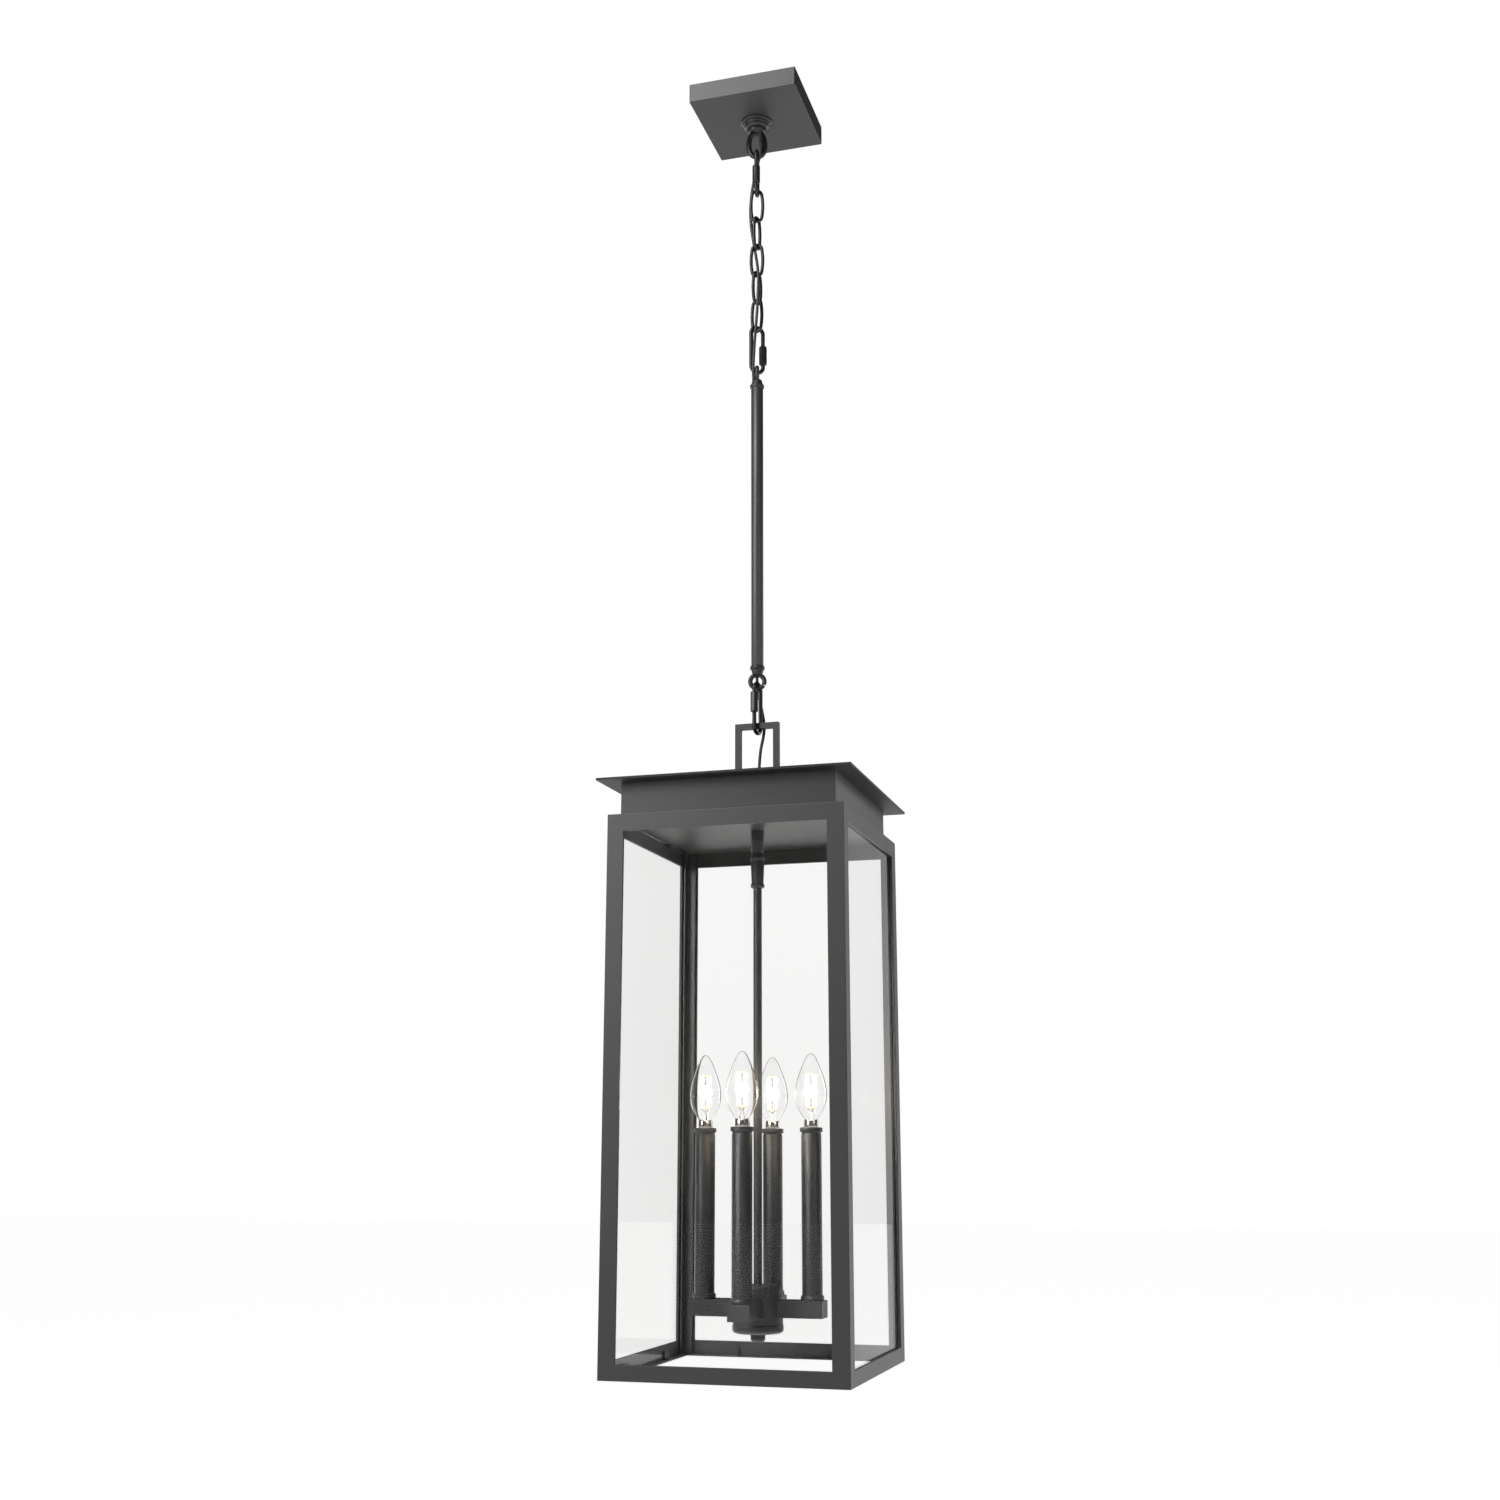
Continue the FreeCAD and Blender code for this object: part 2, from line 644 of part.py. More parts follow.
# --- wires ---
def wire_path(points):
    """Straight runs joined by tangent arcs; returns the wire and the radii used."""
    edges = []
    radii = []
    at = points[0]
    for i in range(1, len(points) - 1):
        a, b, c = points[i - 1], points[i], points[i + 1]
        u = (a - b).normalize()
        v = (c - b).normalize()
        turn = math.pi - u.getAngle(v)
        short = min((a - b).Length, (c - b).Length)
        r = 0.45 * short / math.tan(turn / 2)
        cut = 0.45 * short
        p, q = b + u * cut, b + v * cut
        bis = (u + v).normalize()
        centre = b + bis * (r / math.cos(turn / 2))
        mid = centre - bis * r
        edges.append(Part.LineSegment(at, p).toShape())
        edges.append(Part.Arc(p, mid, q).toShape())
        radii.append(r)
        at = q
    edges.append(Part.LineSegment(at, points[-1]).toShape())
    return Part.Wire(edges), radii


def lead(name, points):
    path, radii = wire_path(points)
    ahead = (points[1] - points[0]).normalize()
    profile = Part.Wire([Part.makeCircle(LEAD_R, points[0], ahead)])
    shape = path.makePipeShell([profile], True, False)
    want = math.pi * LEAD_R ** 2 * path.Length
    print(name, "length", round(path.Length, 1), "volume ratio", round(shape.Volume / want, 4))
    print(name, "radii", [round(r, 1) for r in radii])
    return shape


def lead_upper_points():
    c = link_tops
    return [
        seen(4.0, -6.4, CEILING - 7.5),
        seen(4.0, -6.4, CEILING - 41.0),
        seen(5.2, -6.9, CEILING - 69.0),
        seen(0.0, 0.0, CEILING - 85.5),
        seen(-7.6, 7.4, c[0] - 4.0),
        seen(-8.4, 8.2, c[1] - 4.0),
        seen(-2.5, 5.7, c[1] - 43.0),
        seen(1.3, -5.8, c[3] + 0.5),
        seen(1.6, -10.4, c[3] - 20.0),
        seen(0.2, -11.0, c[4] - 22.0),
        seen(-3.2, -10.6, ql_mid_z - 27.0),
        ROD_IN_FROM,
        ROD_IN,
    ]


def lead_lower_points():
    return [
        ROD_OUT,
        ROD_OUT_TO,
        seen(1.9, 11.8, ring_low_top - 26.0),
        seen(6.3, 11.7, ring_low_top - 48.0),
        seen(8.5, 9.8, bail_top - 1.0),
        seen(7.1, 9.2, bail_top - 14.5),
        seen(3.8, 10.3, bail_top - 28.0),
        seen(2.0, 11.6, bail_top - 48.0),
        seen(2.2, 12.7, bail_top - 72.0),
        seen(2.0, 12.4, ROOF_TOP - 12.0),
    ]


# --- write every node ---
save("canopy_shell", canopy())
save("crossbar", crossbar())
save("ground_screw", ground_screw())
save("nipple", nipple())
save("nipple_nuts", nipple_nuts())
save("screw_collar", screw_collar())
save("collar_loop", collar_loop())

# label, top, turn, side of the nut, and whether the link hangs upside down (gap near its upper bend)
QUICK_LINKS = (("top", ql_top_z, QL_TURNS[0], -1, False), ("mid", ql_mid_z, QL_TURNS[1], 1, False),
               ("low", ql_low_z, QL_TURNS[2], -1, True))
for label, top, turn, side, flip in QUICK_LINKS:
    save("quick_link_" + label, quick_link(top, turn, side, flip))
    save("quick_nut_" + label, quick_nut(top, turn, side, flip))

for label, top, turn in zip("abcde", link_tops, LINK_TURNS):
    save("chain_link_" + label, chain_link(top, turn))

save("rod_top_ring", rod_top_ring())
save("rod_tube", rod_tube())
save("rod_low_ring", rod_low_ring())
save("bail", bail())
save("roof_plate", roof())
save("neck_box", neck_box())
save("ceiling_plate", ceiling_plate())
save("cage_posts", cage_posts())
save("top_rails", group(rails(CAGE_H - TOP_RAIL, CAGE_H, False)))
save("low_rails", group(rails(0, LOW_RAIL, True)))
for name, pane in glass_panes().items():
    save(name, pane)
save("glass_clips", clips())
save("tie_tube", tie_tube())
save("tie_nuts", tie_nuts())
save("stem_nut", stem_nut())
save("stem_coupling", stem_coupling())
save("stem_tube", stem_tube())
save("hub", hub())
save("hub_nut", hub_nut())
save("hub_cap", hub_cap())
save("finial", finial())
save("arms", arms())
save("candle_cups", candle_cups())
save("candle_sleeves", candle_sleeves())
save("sockets", sockets())
for side, turn in (("right", 0), ("back", 90), ("left", 180), ("front", 270)):
    for name, make in (("glass", bulb_glass), ("base", bulb_base), ("core", bulb_core)):
        piece = make()
        piece.translate(vec(CANDLE_AT, 0, 0))
        save("bulb_" + name + "_" + side, turned(piece, turn))
save("lead_upper", lead("lead_upper", lead_upper_points()))
save("lead_lower", lead("lead_lower", lead_lower_points()))
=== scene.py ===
import bmesh
import bpy
import json
import math
from mathutils import Matrix, Vector


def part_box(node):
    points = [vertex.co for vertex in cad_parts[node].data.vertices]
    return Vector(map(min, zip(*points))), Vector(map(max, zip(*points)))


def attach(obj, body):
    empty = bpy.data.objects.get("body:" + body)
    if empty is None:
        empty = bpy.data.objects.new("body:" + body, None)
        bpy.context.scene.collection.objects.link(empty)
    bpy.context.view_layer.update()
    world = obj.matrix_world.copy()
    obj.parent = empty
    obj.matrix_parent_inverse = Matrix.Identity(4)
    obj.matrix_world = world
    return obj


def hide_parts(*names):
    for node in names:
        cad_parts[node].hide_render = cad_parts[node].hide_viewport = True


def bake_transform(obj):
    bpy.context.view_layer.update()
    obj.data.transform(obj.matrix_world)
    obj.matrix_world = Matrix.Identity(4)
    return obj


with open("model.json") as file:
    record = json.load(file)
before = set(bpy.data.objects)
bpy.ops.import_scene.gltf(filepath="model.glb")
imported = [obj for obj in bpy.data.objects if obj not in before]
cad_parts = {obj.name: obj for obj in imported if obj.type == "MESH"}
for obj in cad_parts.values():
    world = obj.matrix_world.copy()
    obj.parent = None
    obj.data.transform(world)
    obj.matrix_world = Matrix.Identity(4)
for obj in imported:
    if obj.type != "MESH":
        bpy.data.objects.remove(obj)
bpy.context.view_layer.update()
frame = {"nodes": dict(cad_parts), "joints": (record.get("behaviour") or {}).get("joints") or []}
MM = 0.001
LOW_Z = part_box("cage_posts")[0].z
JOINTS = {j["name"]: j for j in frame["joints"]}

# --- camera -----------------------------------------------------------------------------------
FOCAL_LENGTH = 41.94
EYE_HEIGHT = 0.21965          # above the cage's underside
TILT_UP, TURN_LEFT = 0.2307, 0.28494
cam_data = bpy.data.cameras.new("photo_camera")
cam_data.sensor_width = 36.0
cam_data.lens = FOCAL_LENGTH
cam_data.clip_start = 0.01
cam_data.clip_end = 100.0
cam = bpy.data.objects.new("photo_camera", cam_data)
bpy.context.collection.objects.link(cam)
cam.location = (0.5480, -1.9018, LOW_Z + EYE_HEIGHT)
cam.rotation_euler = (math.pi / 2 + TILT_UP, 0.0, TURN_LEFT)
bpy.context.scene.camera = cam
bpy.context.scene.view_settings.view_transform = "Standard"


# --- mesh helpers -----------------------------------------------------------------------------
def new_object(name, verts, faces, smooth=True):
    mesh = bpy.data.meshes.new(name)
    mesh.from_pydata([tuple(v) for v in verts], [], faces)
    mesh.validate()
    mesh.update()
    bm = bmesh.new()
    bm.from_mesh(mesh)
    bmesh.ops.recalc_face_normals(bm, faces=bm.faces)
    bm.to_mesh(mesh)
    bm.free()
    obj = bpy.data.objects.new(name, mesh)
    bpy.context.collection.objects.link(obj)
    if smooth:
        mesh.polygons.foreach_set("use_smooth", [True] * len(mesh.polygons))
    return obj


def sharpen(obj, degrees=35.0):
    """Flat shading across edges sharper than this, smooth elsewhere."""
    mesh = obj.data
    mesh.polygons.foreach_set("use_smooth", [True] * len(mesh.polygons))
    bm = bmesh.new()
    bm.from_mesh(mesh)
    limit = math.radians(degrees)
    for e in bm.edges:
        e.smooth = not (len(e.link_faces) == 2 and e.calc_face_angle(0.0) > limit)
    bm.to_mesh(mesh)
    bm.free()
    return obj


def bevel(obj, width, segments=3, degrees=40.0):
    m = obj.modifiers.new("edge", "BEVEL")
    m.width = width
    m.segments = segments
    m.limit_method = "ANGLE"
    m.angle_limit = math.radians(degrees)
    return obj


def join(name, objs):
    """One mesh from several."""
    verts, faces = [], []
    for o in objs:
        base = len(verts)
        verts += [o.matrix_world @ v.co for v in o.data.vertices]
        faces += [[i + base for i in p.vertices] for p in o.data.polygons]
    for o in objs:
        bpy.data.objects.remove(o, do_unlink=True)
    return new_object(name, verts, faces)


def circle(r, z, centre, steps):
    """Points around a vertical axis, one ring of a lathe."""
    turns = [2 * math.pi * i / steps for i in range(steps)]
    return [(centre[0] + r * math.cos(a), centre[1] + r * math.sin(a), z) for a in turns]


def lathe(name, profile, centre=(0, 0), steps=64):
    """Solid of revolution about a vertical axis; profile is (radius, z), from the foot up."""
    verts, faces, rings = [], [], []
    for r, z in profile:
        if r < 1e-7:
            rings.append([len(verts)])
            verts.append((centre[0], centre[1], z))
            continue
        rings.append(list(range(len(verts), len(verts) + steps)))
        verts += circle(r, z, centre, steps)
    for low, high in zip(rings, rings[1:]):
        n = max(len(low), len(high))
        for i in range(n):
            j = (i + 1) % n
            if len(low) == 1:
                faces.append((low[0], high[j], high[i]))
            elif len(high) == 1:
                faces.append((low[i], low[j], high[0]))
            else:
                faces.append((low[i], low[j], high[j], high[i]))
    if len(rings[0]) > 1 and rings[0] != rings[-1]:
        faces.append(tuple(reversed(rings[0])))
    if len(rings[-1]) > 1:
        faces.append(tuple(rings[-1]))
    return sharpen(new_object(name, verts, faces), 40)


def hoop_faces(rows, steps):
    """Faces of a closed hoop whose rows, each a ring of points, follow one another round."""
    faces = []
    for k in range(rows):
        m = (k + 1) % rows
        for i in range(steps):
            j = (i + 1) % steps
            faces.append((k * steps + i, k * steps + j, m * steps + j, m * steps + i))
    return faces


def closed_lathe(name, profile, centre=(0, 0), steps=64):
    """Ring-shaped solid: the profile is a closed loop that never meets the axis."""
    verts = []
    for r, z in profile:
        verts += circle(r, z, centre, steps)
    return sharpen(new_object(name, verts, hoop_faces(len(profile), steps)), 40)


def rounded(points, radius, steps=4):
    """Profile corners rounded with short arcs; first and last points stay."""
    out = [points[0]]
    for a, b, c in zip(points, points[1:], points[2:]):
        a, b, c = Vector(a), Vector(b), Vector(c)
        u, v = (a - b), (c - b)
        k = min(radius, u.length * 0.45, v.length * 0.45)
        p, q = b + u.normalized() * k, b + v.normalized() * k
        for i in range(steps + 1):
            t = i / steps
            out.append(tuple(p * (1 - t) ** 2 + b * 2 * t * (1 - t) + q * t ** 2))
    out.append(points[-1])
    return out


def sweep(name, path, radius, sides=20, closed=False, radii=None):
    """Round tube along a path of points."""
    n = len(path)
    path = [Vector(p) for p in path]
    tangents = []
    for i in range(n):
        a = path[(i - 1) % n] if closed or i > 0 else path[i]
        b = path[(i + 1) % n] if closed or i < n - 1 else path[i]
        tangents.append((b - a).normalized())
    up = tangents[0].orthogonal().normalized()
    verts, faces = [], []
    for i in range(n):
        t = tangents[i]
        up = (up - t * up.dot(t)).normalized()
        side = t.cross(up)
        r = radii[i] if radii else radius
        for k in range(sides):
            a = 2 * math.pi * k / sides
            verts.append(path[i] + (up * math.cos(a) + side * math.sin(a)) * r)
    last = n if closed else n - 1
    for i in range(last):
        j = (i + 1) % n
        for k in range(sides):
            m = (k + 1) % sides
            faces.append((i * sides + k, i * sides + m, j * sides + m, j * sides + k))
    if not closed:
        faces.append(tuple(range(sides - 1, -1, -1)))
        faces.append(tuple((n - 1) * sides + k for k in range(sides)))
    obj = new_object(name, verts, faces)
    if not closed:
        sharpen(obj, 50)
    return obj


def box_mesh(name, lo, hi):
    x0, y0, z0 = lo
    x1, y1, z1 = hi
    verts = [(x0, y0, z0), (x1, y0, z0), (x1, y1, z0), (x0, y1, z0),
             (x0, y0, z1), (x1, y0, z1), (x1, y1, z1), (x0, y1, z1)]
    faces = [(0, 3, 2, 1), (4, 5, 6, 7), (0, 1, 5, 4), (1, 2, 6, 5), (2, 3, 7, 6), (3, 0, 4, 7)]
    return new_object(name, verts, faces, smooth=False)


def plane_turn(joint):
    """Bearing of a ring's or link's wide direction, from its hinge's axis."""
    x, y, _ = JOINTS[joint]["axis"]
    return math.atan2(-x, y)


def placed(points, turn):
    """Points drawn in the XZ plane, turned about Z."""
    c, s = math.cos(turn), math.sin(turn)
    return [(x * c - y * s, x * s + y * c, z) for x, y, z in points]


# --- materials --------------------------------------------------------------------------------
def material(name):
    m = bpy.data.materials.new(name)
    m.use_nodes = True
    tree = m.node_tree
    bsdf = tree.nodes["Principled BSDF"]
    return m, tree, bsdf


def node(tree, kind, **values):
    n = tree.nodes.new(kind)
    for k, v in values.items():
        setattr(n, k, v)
    return n


def noise(tree, coords, scale, detail=2.0, rough=0.5):
    n = node(tree, "ShaderNodeTexNoise")
    n.inputs["Scale"].default_value = scale
    n.inputs["Detail"].default_value = detail
    n.inputs["Roughness"].default_value = rough
    tree.links.new(coords.outputs["Object"], n.inputs["Vector"])
    return n


def ramp(tree, source, stops):
    r = node(tree, "ShaderNodeValToRGB")
    r.color_ramp.elements[0].position = stops[0][0]
    r.color_ramp.elements[0].color = stops[0][1]
    r.color_ramp.elements[1].position = stops[-1][0]
    r.color_ramp.elements[1].color = stops[-1][1]
    for pos, col in stops[1:-1]:
        e = r.color_ramp.elements.new(pos)
        e.color = col
    tree.links.new(source, r.inputs["Fac"])
    return r


def shades(colour, factor):
    """A darker and the full shade of a colour, as ramp stops' colours."""
    return (*[c * factor for c in colour], 1), (*colour, 1)


def raise_grain(tree, bsdf, source, strength, distance):
    b = node(tree, "ShaderNodeBump")
    b.inputs["Strength"].default_value = strength
    b.inputs["Distance"].default_value = distance
    tree.links.new(source, b.inputs["Height"])
    tree.links.new(b.outputs["Normal"], bsdf.inputs["Normal"])


def span(tree, source, low, high, from_low=0.3, from_high=0.7):
    m = node(tree, "ShaderNodeMapRange")
    m.inputs["From Min"].default_value = from_low
    m.inputs["From Max"].default_value = from_high
    m.inputs["To Min"].default_value = low
    m.inputs["To Max"].default_value = high
    tree.links.new(source, m.inputs["Value"])
    return m


def powder_coat(name, dark, light, speck, grain=1500.0, rough=(0.38, 0.52), bump=0.35,
                shine=0.5):
    """Fine sand-textured powder coat: grain in colour, gloss and height, and slow cloudiness."""
    m, tree, bsdf = material(name)
    coords = node(tree, "ShaderNodeTexCoord")
    fine = noise(tree, coords, grain, 3.0, 0.6)
    slow = noise(tree, coords, 9.0, 3.0, 0.5)
    base = ramp(tree, fine.outputs["Fac"], [(0.32, (*dark, 1)), (0.62, (*light, 1)), (0.8, (*speck, 1))])
    cloud = ramp(tree, slow.outputs["Fac"], [(0.3, (0.86, 0.86, 0.86, 1)), (0.7, (1.0, 1.0, 1.0, 1))])
    mix = node(tree, "ShaderNodeMix", data_type="RGBA", blend_type="MULTIPLY")
    mix.inputs["Factor"].default_value = 1.0
    tree.links.new(base.outputs["Color"], mix.inputs["A"])
    tree.links.new(cloud.outputs["Color"], mix.inputs["B"])
    tree.links.new(mix.outputs["Result"], bsdf.inputs["Base Color"])
    gloss = span(tree, fine.outputs["Fac"], rough[0], rough[1])
    tree.links.new(gloss.outputs["Result"], bsdf.inputs["Roughness"])
    pimple = noise(tree, coords, grain * 0.62, 2.0, 0.5)
    raise_grain(tree, bsdf, pimple.outputs["Fac"], bump, 0.00012)
    bsdf.inputs["Specular IOR Level"].default_value = shine
    return m


def brushed(name, colour, rough):
    m, tree, bsdf = material(name)
    coords = node(tree, "ShaderNodeTexCoord")
    fine = noise(tree, coords, 700.0, 4.0, 0.6)
    dull, full = shades(colour, 0.82)
    tint = ramp(tree, fine.outputs["Fac"], [(0.3, dull), (0.7, full)])
    tree.links.new(tint.outputs["Color"], bsdf.inputs["Base Color"])
    gloss = span(tree, fine.outputs["Fac"], rough * 0.75, rough * 1.3)
    tree.links.new(gloss.outputs["Result"], bsdf.inputs["Roughness"])
    bsdf.inputs["Metallic"].default_value = 1.0
    return m


def clear_glass(name, tint, ior, wave):
    """Clear glass that lets the lamps' and the sky's light through."""
    m, tree, bsdf = material(name)
    coords = node(tree, "ShaderNodeTexCoord")
    slow = noise(tree, coords, wave, 1.0, 0.4)
    dull, full = shades(tint, 0.985)
    colour = ramp(tree, slow.outputs["Fac"], [(0.3, dull), (0.7, full)])
    tree.links.new(colour.outputs["Color"], bsdf.inputs["Base Color"])
    bsdf.inputs["Roughness"].default_value = 0.0
    bsdf.inputs["IOR"].default_value = ior
    bsdf.inputs["Transmission Weight"].default_value = 1.0
    path = node(tree, "ShaderNodeLightPath")
    clear = node(tree, "ShaderNodeBsdfTransparent")
    mix = node(tree, "ShaderNodeMixShader")
    out = tree.nodes["Material Output"]
    tree.links.new(path.outputs["Is Shadow Ray"], mix.inputs["Fac"])
    tree.links.new(bsdf.outputs["BSDF"], mix.inputs[1])
    tree.links.new(clear.outputs["BSDF"], mix.inputs[2])
    tree.links.new(mix.outputs["Shader"], out.inputs["Surface"])
    return m


def glowing(name, colour, strength):
    m, tree, bsdf = material(name)
    coords = node(tree, "ShaderNodeTexCoord")
    dots = noise(tree, coords, 900.0, 1.0, 0.4)
    dull, full = shades(colour, 0.9)
    shade = ramp(tree, dots.outputs["Fac"], [(0.35, dull), (0.6, full)])
    tree.links.new(shade.outputs["Color"], bsdf.inputs["Base Color"])
    tree.links.new(shade.outputs["Color"], bsdf.inputs["Emission Color"])
    bsdf.inputs["Emission Strength"].default_value = strength
    bsdf.inputs["Roughness"].default_value = 0.5
    return m


def plain(name, colour, rough, grain):
    m, tree, bsdf = material(name)
    coords = node(tree, "ShaderNodeTexCoord")
    fine = noise(tree, coords, grain, 3.0, 0.5)
    dull, full = shades(colour, 0.8)
    tint = ramp(tree, fine.outputs["Fac"], [(0.3, dull), (0.7, full)])
    tree.links.new(tint.outputs["Color"], bsdf.inputs["Base Color"])
    gloss = span(tree, fine.outputs["Fac"], rough * 0.85, rough * 1.15)
    tree.links.new(gloss.outputs["Result"], bsdf.inputs["Roughness"])
    raise_grain(tree, bsdf, fine.outputs["Fac"], 0.2, 0.0001)
    return m


M_CAGE = powder_coat("cage_coat", (0.012, 0.0122, 0.0125), (0.021, 0.0213, 0.0217), (0.055, 0.056, 0.057))
M_WARM = powder_coat("fitting_coat", (0.013, 0.0123, 0.0117), (0.024, 0.0225, 0.0212), (0.055, 0.052, 0.049),
                     shine=0.42)
# Rod: painted light, a lighter copy of the black powder coat that stands in for the light falling on the rod.
M_ROD_LIT = powder_coat("rod_coat_painted_light", (0.022, 0.0213, 0.0203), (0.038, 0.0365, 0.0345), (0.075, 0.072, 0.068),
                    rough=(0.36, 0.48), shine=0.6)
# Roof: painted shade, a darker copy of the black powder coat that stands in for the shadow under the roof's
# overhang.
M_ROOF_SHADED = powder_coat("roof_coat_painted_shade", (0.006, 0.006, 0.006), (0.012, 0.0119, 0.0117), (0.035, 0.0345, 0.034),
                     rough=(0.46, 0.6), shine=0.3)
M_CHAIN = powder_coat("chain_coat", (0.005, 0.0048, 0.0046), (0.010, 0.0095, 0.009), (0.035, 0.033, 0.031),
                      grain=2200.0, rough=(0.3, 0.44), bump=0.25, shine=0.42)
M_SLEEVE = powder_coat("sleeve_coat", (0.010, 0.0102, 0.0104), (0.018, 0.0182, 0.0185), (0.045, 0.045, 0.045),
                       grain=1900.0, rough=(0.36, 0.5), bump=0.25)
M_ZINC = brushed("zinc_plate", (0.62, 0.62, 0.60), 0.35)
M_COLLAR = brushed("lamp_plate", (0.86, 0.83, 0.78), 0.16)
M_GREEN = plain("ground_green_paint", (0.03, 0.26, 0.08), 0.4, 900.0)
M_SOCKET = plain("socket_moulding", (0.05, 0.045, 0.04), 0.45, 800.0)
M_CORD = plain("cord_jacket", (0.022, 0.021, 0.021), 0.42, 1200.0)
M_PANE = clear_glass("pane_glass", (0.962, 0.963, 0.958), 1.12, 2.0)
M_BULB = clear_glass("lamp_glass", (0.985, 0.985, 0.985), 1.17, 20.0)
M_CORE = glowing("filament_glow", (1.0, 0.88, 0.68), 3.0)
# Crowns: amber of their own plus a painted glow, although they are no lamp.
M_AMBER_PAINTED_GLOW = glowing("crown_amber_painted_glow", (0.95, 0.62, 0.34), 0.55)
M_MOUNT = plain("mount_wire", (0.22, 0.2, 0.18), 0.35, 900.0)
M_CLIP = powder_coat("clip_coat", (0.014, 0.014, 0.014), (0.024, 0.024, 0.024), (0.06, 0.06, 0.06),
                     grain=2000.0, rough=(0.24, 0.36), bump=0.15)


def finish_piece(obj, mat, slot_name, body, *nodes):
    obj.data.materials.clear()
    obj.data.materials.append(mat)
    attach(obj, body)
    if nodes:
        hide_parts(*nodes)
    return obj


# --- light and setting ------------------------------------------------------------------------
def studio_world():
    """White where it is seen straight or through glass.

    As light, it is a dim room that is brighter low and to the sides."""
    world = bpy.data.worlds.new("studio")
    bpy.context.scene.world = world
    world.use_nodes = True
    tree = world.node_tree
    room = tree.nodes["Background"]
    coords = node(tree, "ShaderNodeTexCoord")
    parts = node(tree, "ShaderNodeSeparateXYZ")
    tree.links.new(coords.outputs["Generated"], parts.inputs["Vector"])
    tone = ramp(tree, span(tree, parts.outputs["Z"], 0.0, 1.0, -1.0, 1.0).outputs["Result"],
                [(0.0, (0.62, 0.62, 0.62, 1)), (0.45, (0.5, 0.5, 0.5, 1)), (1.0, (0.22, 0.22, 0.22, 1))])
    tree.links.new(tone.outputs["Color"], room.inputs["Color"])
    room.inputs["Strength"].default_value = ROOM_LIGHT
    paper = node(tree, "ShaderNodeBackground")
    paper.inputs["Color"].default_value = (1.0, 1.0, 1.0, 1.0)
    paper.inputs["Strength"].default_value = 1.02
    path = node(tree, "ShaderNodeLightPath")

    def sum_up(operation, first, second):
        m = node(tree, "ShaderNodeMath", operation=operation, use_clamp=operation == "SUBTRACT")
        tree.links.new(first, m.inputs[0])
        if isinstance(second, float):
            m.inputs[1].default_value = second
        else:
            tree.links.new(second, m.inputs[1])
        return m.outputs["Value"]

    bounces = sum_up("ADD", path.outputs["Diffuse Depth"], path.outputs["Glossy Depth"])
    straight = sum_up("LESS_THAN", bounces, 0.5)
    through = sum_up("MULTIPLY", straight, path.outputs["Is Transmission Ray"])
    mirrored = sum_up("SUBTRACT", path.outputs["Is Singular Ray"], path.outputs["Is Transmission Ray"])
    by_glass = sum_up("MAXIMUM", through, mirrored)
    looked = sum_up("MAXIMUM", by_glass, path.outputs["Is Camera Ray"])
    mix = node(tree, "ShaderNodeMixShader")
    tree.links.new(looked, mix.inputs["Fac"])
    tree.links.new(room.outputs["Background"], mix.inputs[1])
    tree.links.new(paper.outputs["Background"], mix.inputs[2])
    tree.links.new(mix.outputs["Shader"], tree.nodes["World Output"].inputs["Surface"])


def soft_light(name, place, target, size, power):
    data = bpy.data.lights.new(name, "AREA")
    data.shape = "RECTANGLE"
    data.size, data.size_y = size
    data.energy = power
    obj = bpy.data.objects.new(name, data)
    bpy.context.collection.objects.link(obj)
    obj.location = place
    obj.rotation_euler = (Vector(target) - Vector(place)).to_track_quat("-Z", "Y").to_euler()
    return obj


def paper_floor():
    """Wide pale paper well below the lantern."""
    far, z = 30, LOW_Z - 0.9
    mesh = bpy.data.meshes.new("floor")
    mesh.from_pydata([(-far, -far, z), (far, -far, z), (far, far, z), (-far, far, z)], [], [(0, 1, 2, 3)])
    obj = bpy.data.objects.new("floor", mesh)
    bpy.context.collection.objects.link(obj)
    m, tree, bsdf = material("floor_paper")
    bsdf.inputs["Roughness"].default_value = 0.9
    bsdf.inputs["Emission Color"].default_value = (1.0, 1.0, 1.0, 1.0)
    bsdf.inputs["Emission Strength"].default_value = 0.94
    cloud = noise(tree, node(tree, "ShaderNodeTexCoord"), 3.0)
    tone = ramp(tree, cloud.outputs["Fac"], [(0.3, (0.9, 0.9, 0.9, 1)), (0.7, (0.93, 0.93, 0.93, 1))])
    tree.links.new(tone.outputs["Color"], bsdf.inputs["Base Color"])
    mesh.materials.append(m)


ROOM_LIGHT = 0.16
MID = Vector((0, 0, LOW_Z + 0.6))
HIGH = Vector((0, 0, LOW_Z + 1.4))
studio_world()
for light_name, (x, y, rise), target, size, watts in (
        ("key_left", (-1.5, -2.2, 1.35), MID, (0.9, 1.5), 47.0),
        ("key_top", (-0.8, -1.6, 2.7), HIGH, (0.9, 0.9), 44.0),
        ("fill_right", (2.3, -1.3, 1.4), MID, (0.6, 1.4), 6.0),
        ("back_left", (-2.2, 1.6, 0.9), MID, (0.8, 2.2), 16.0),
        ("back_right", (1.6, 2.2, 0.9), MID, (0.8, 2.2), 18.0)):
    soft_light(light_name, (x, y, LOW_Z + rise), target, size, watts)
paper_floor()


# --- ceiling set ------------------------------------------------------------------------------
LOOP_TURN = math.radians(16.0)          # bearing of the canopy's loop and of the rod's lower ring


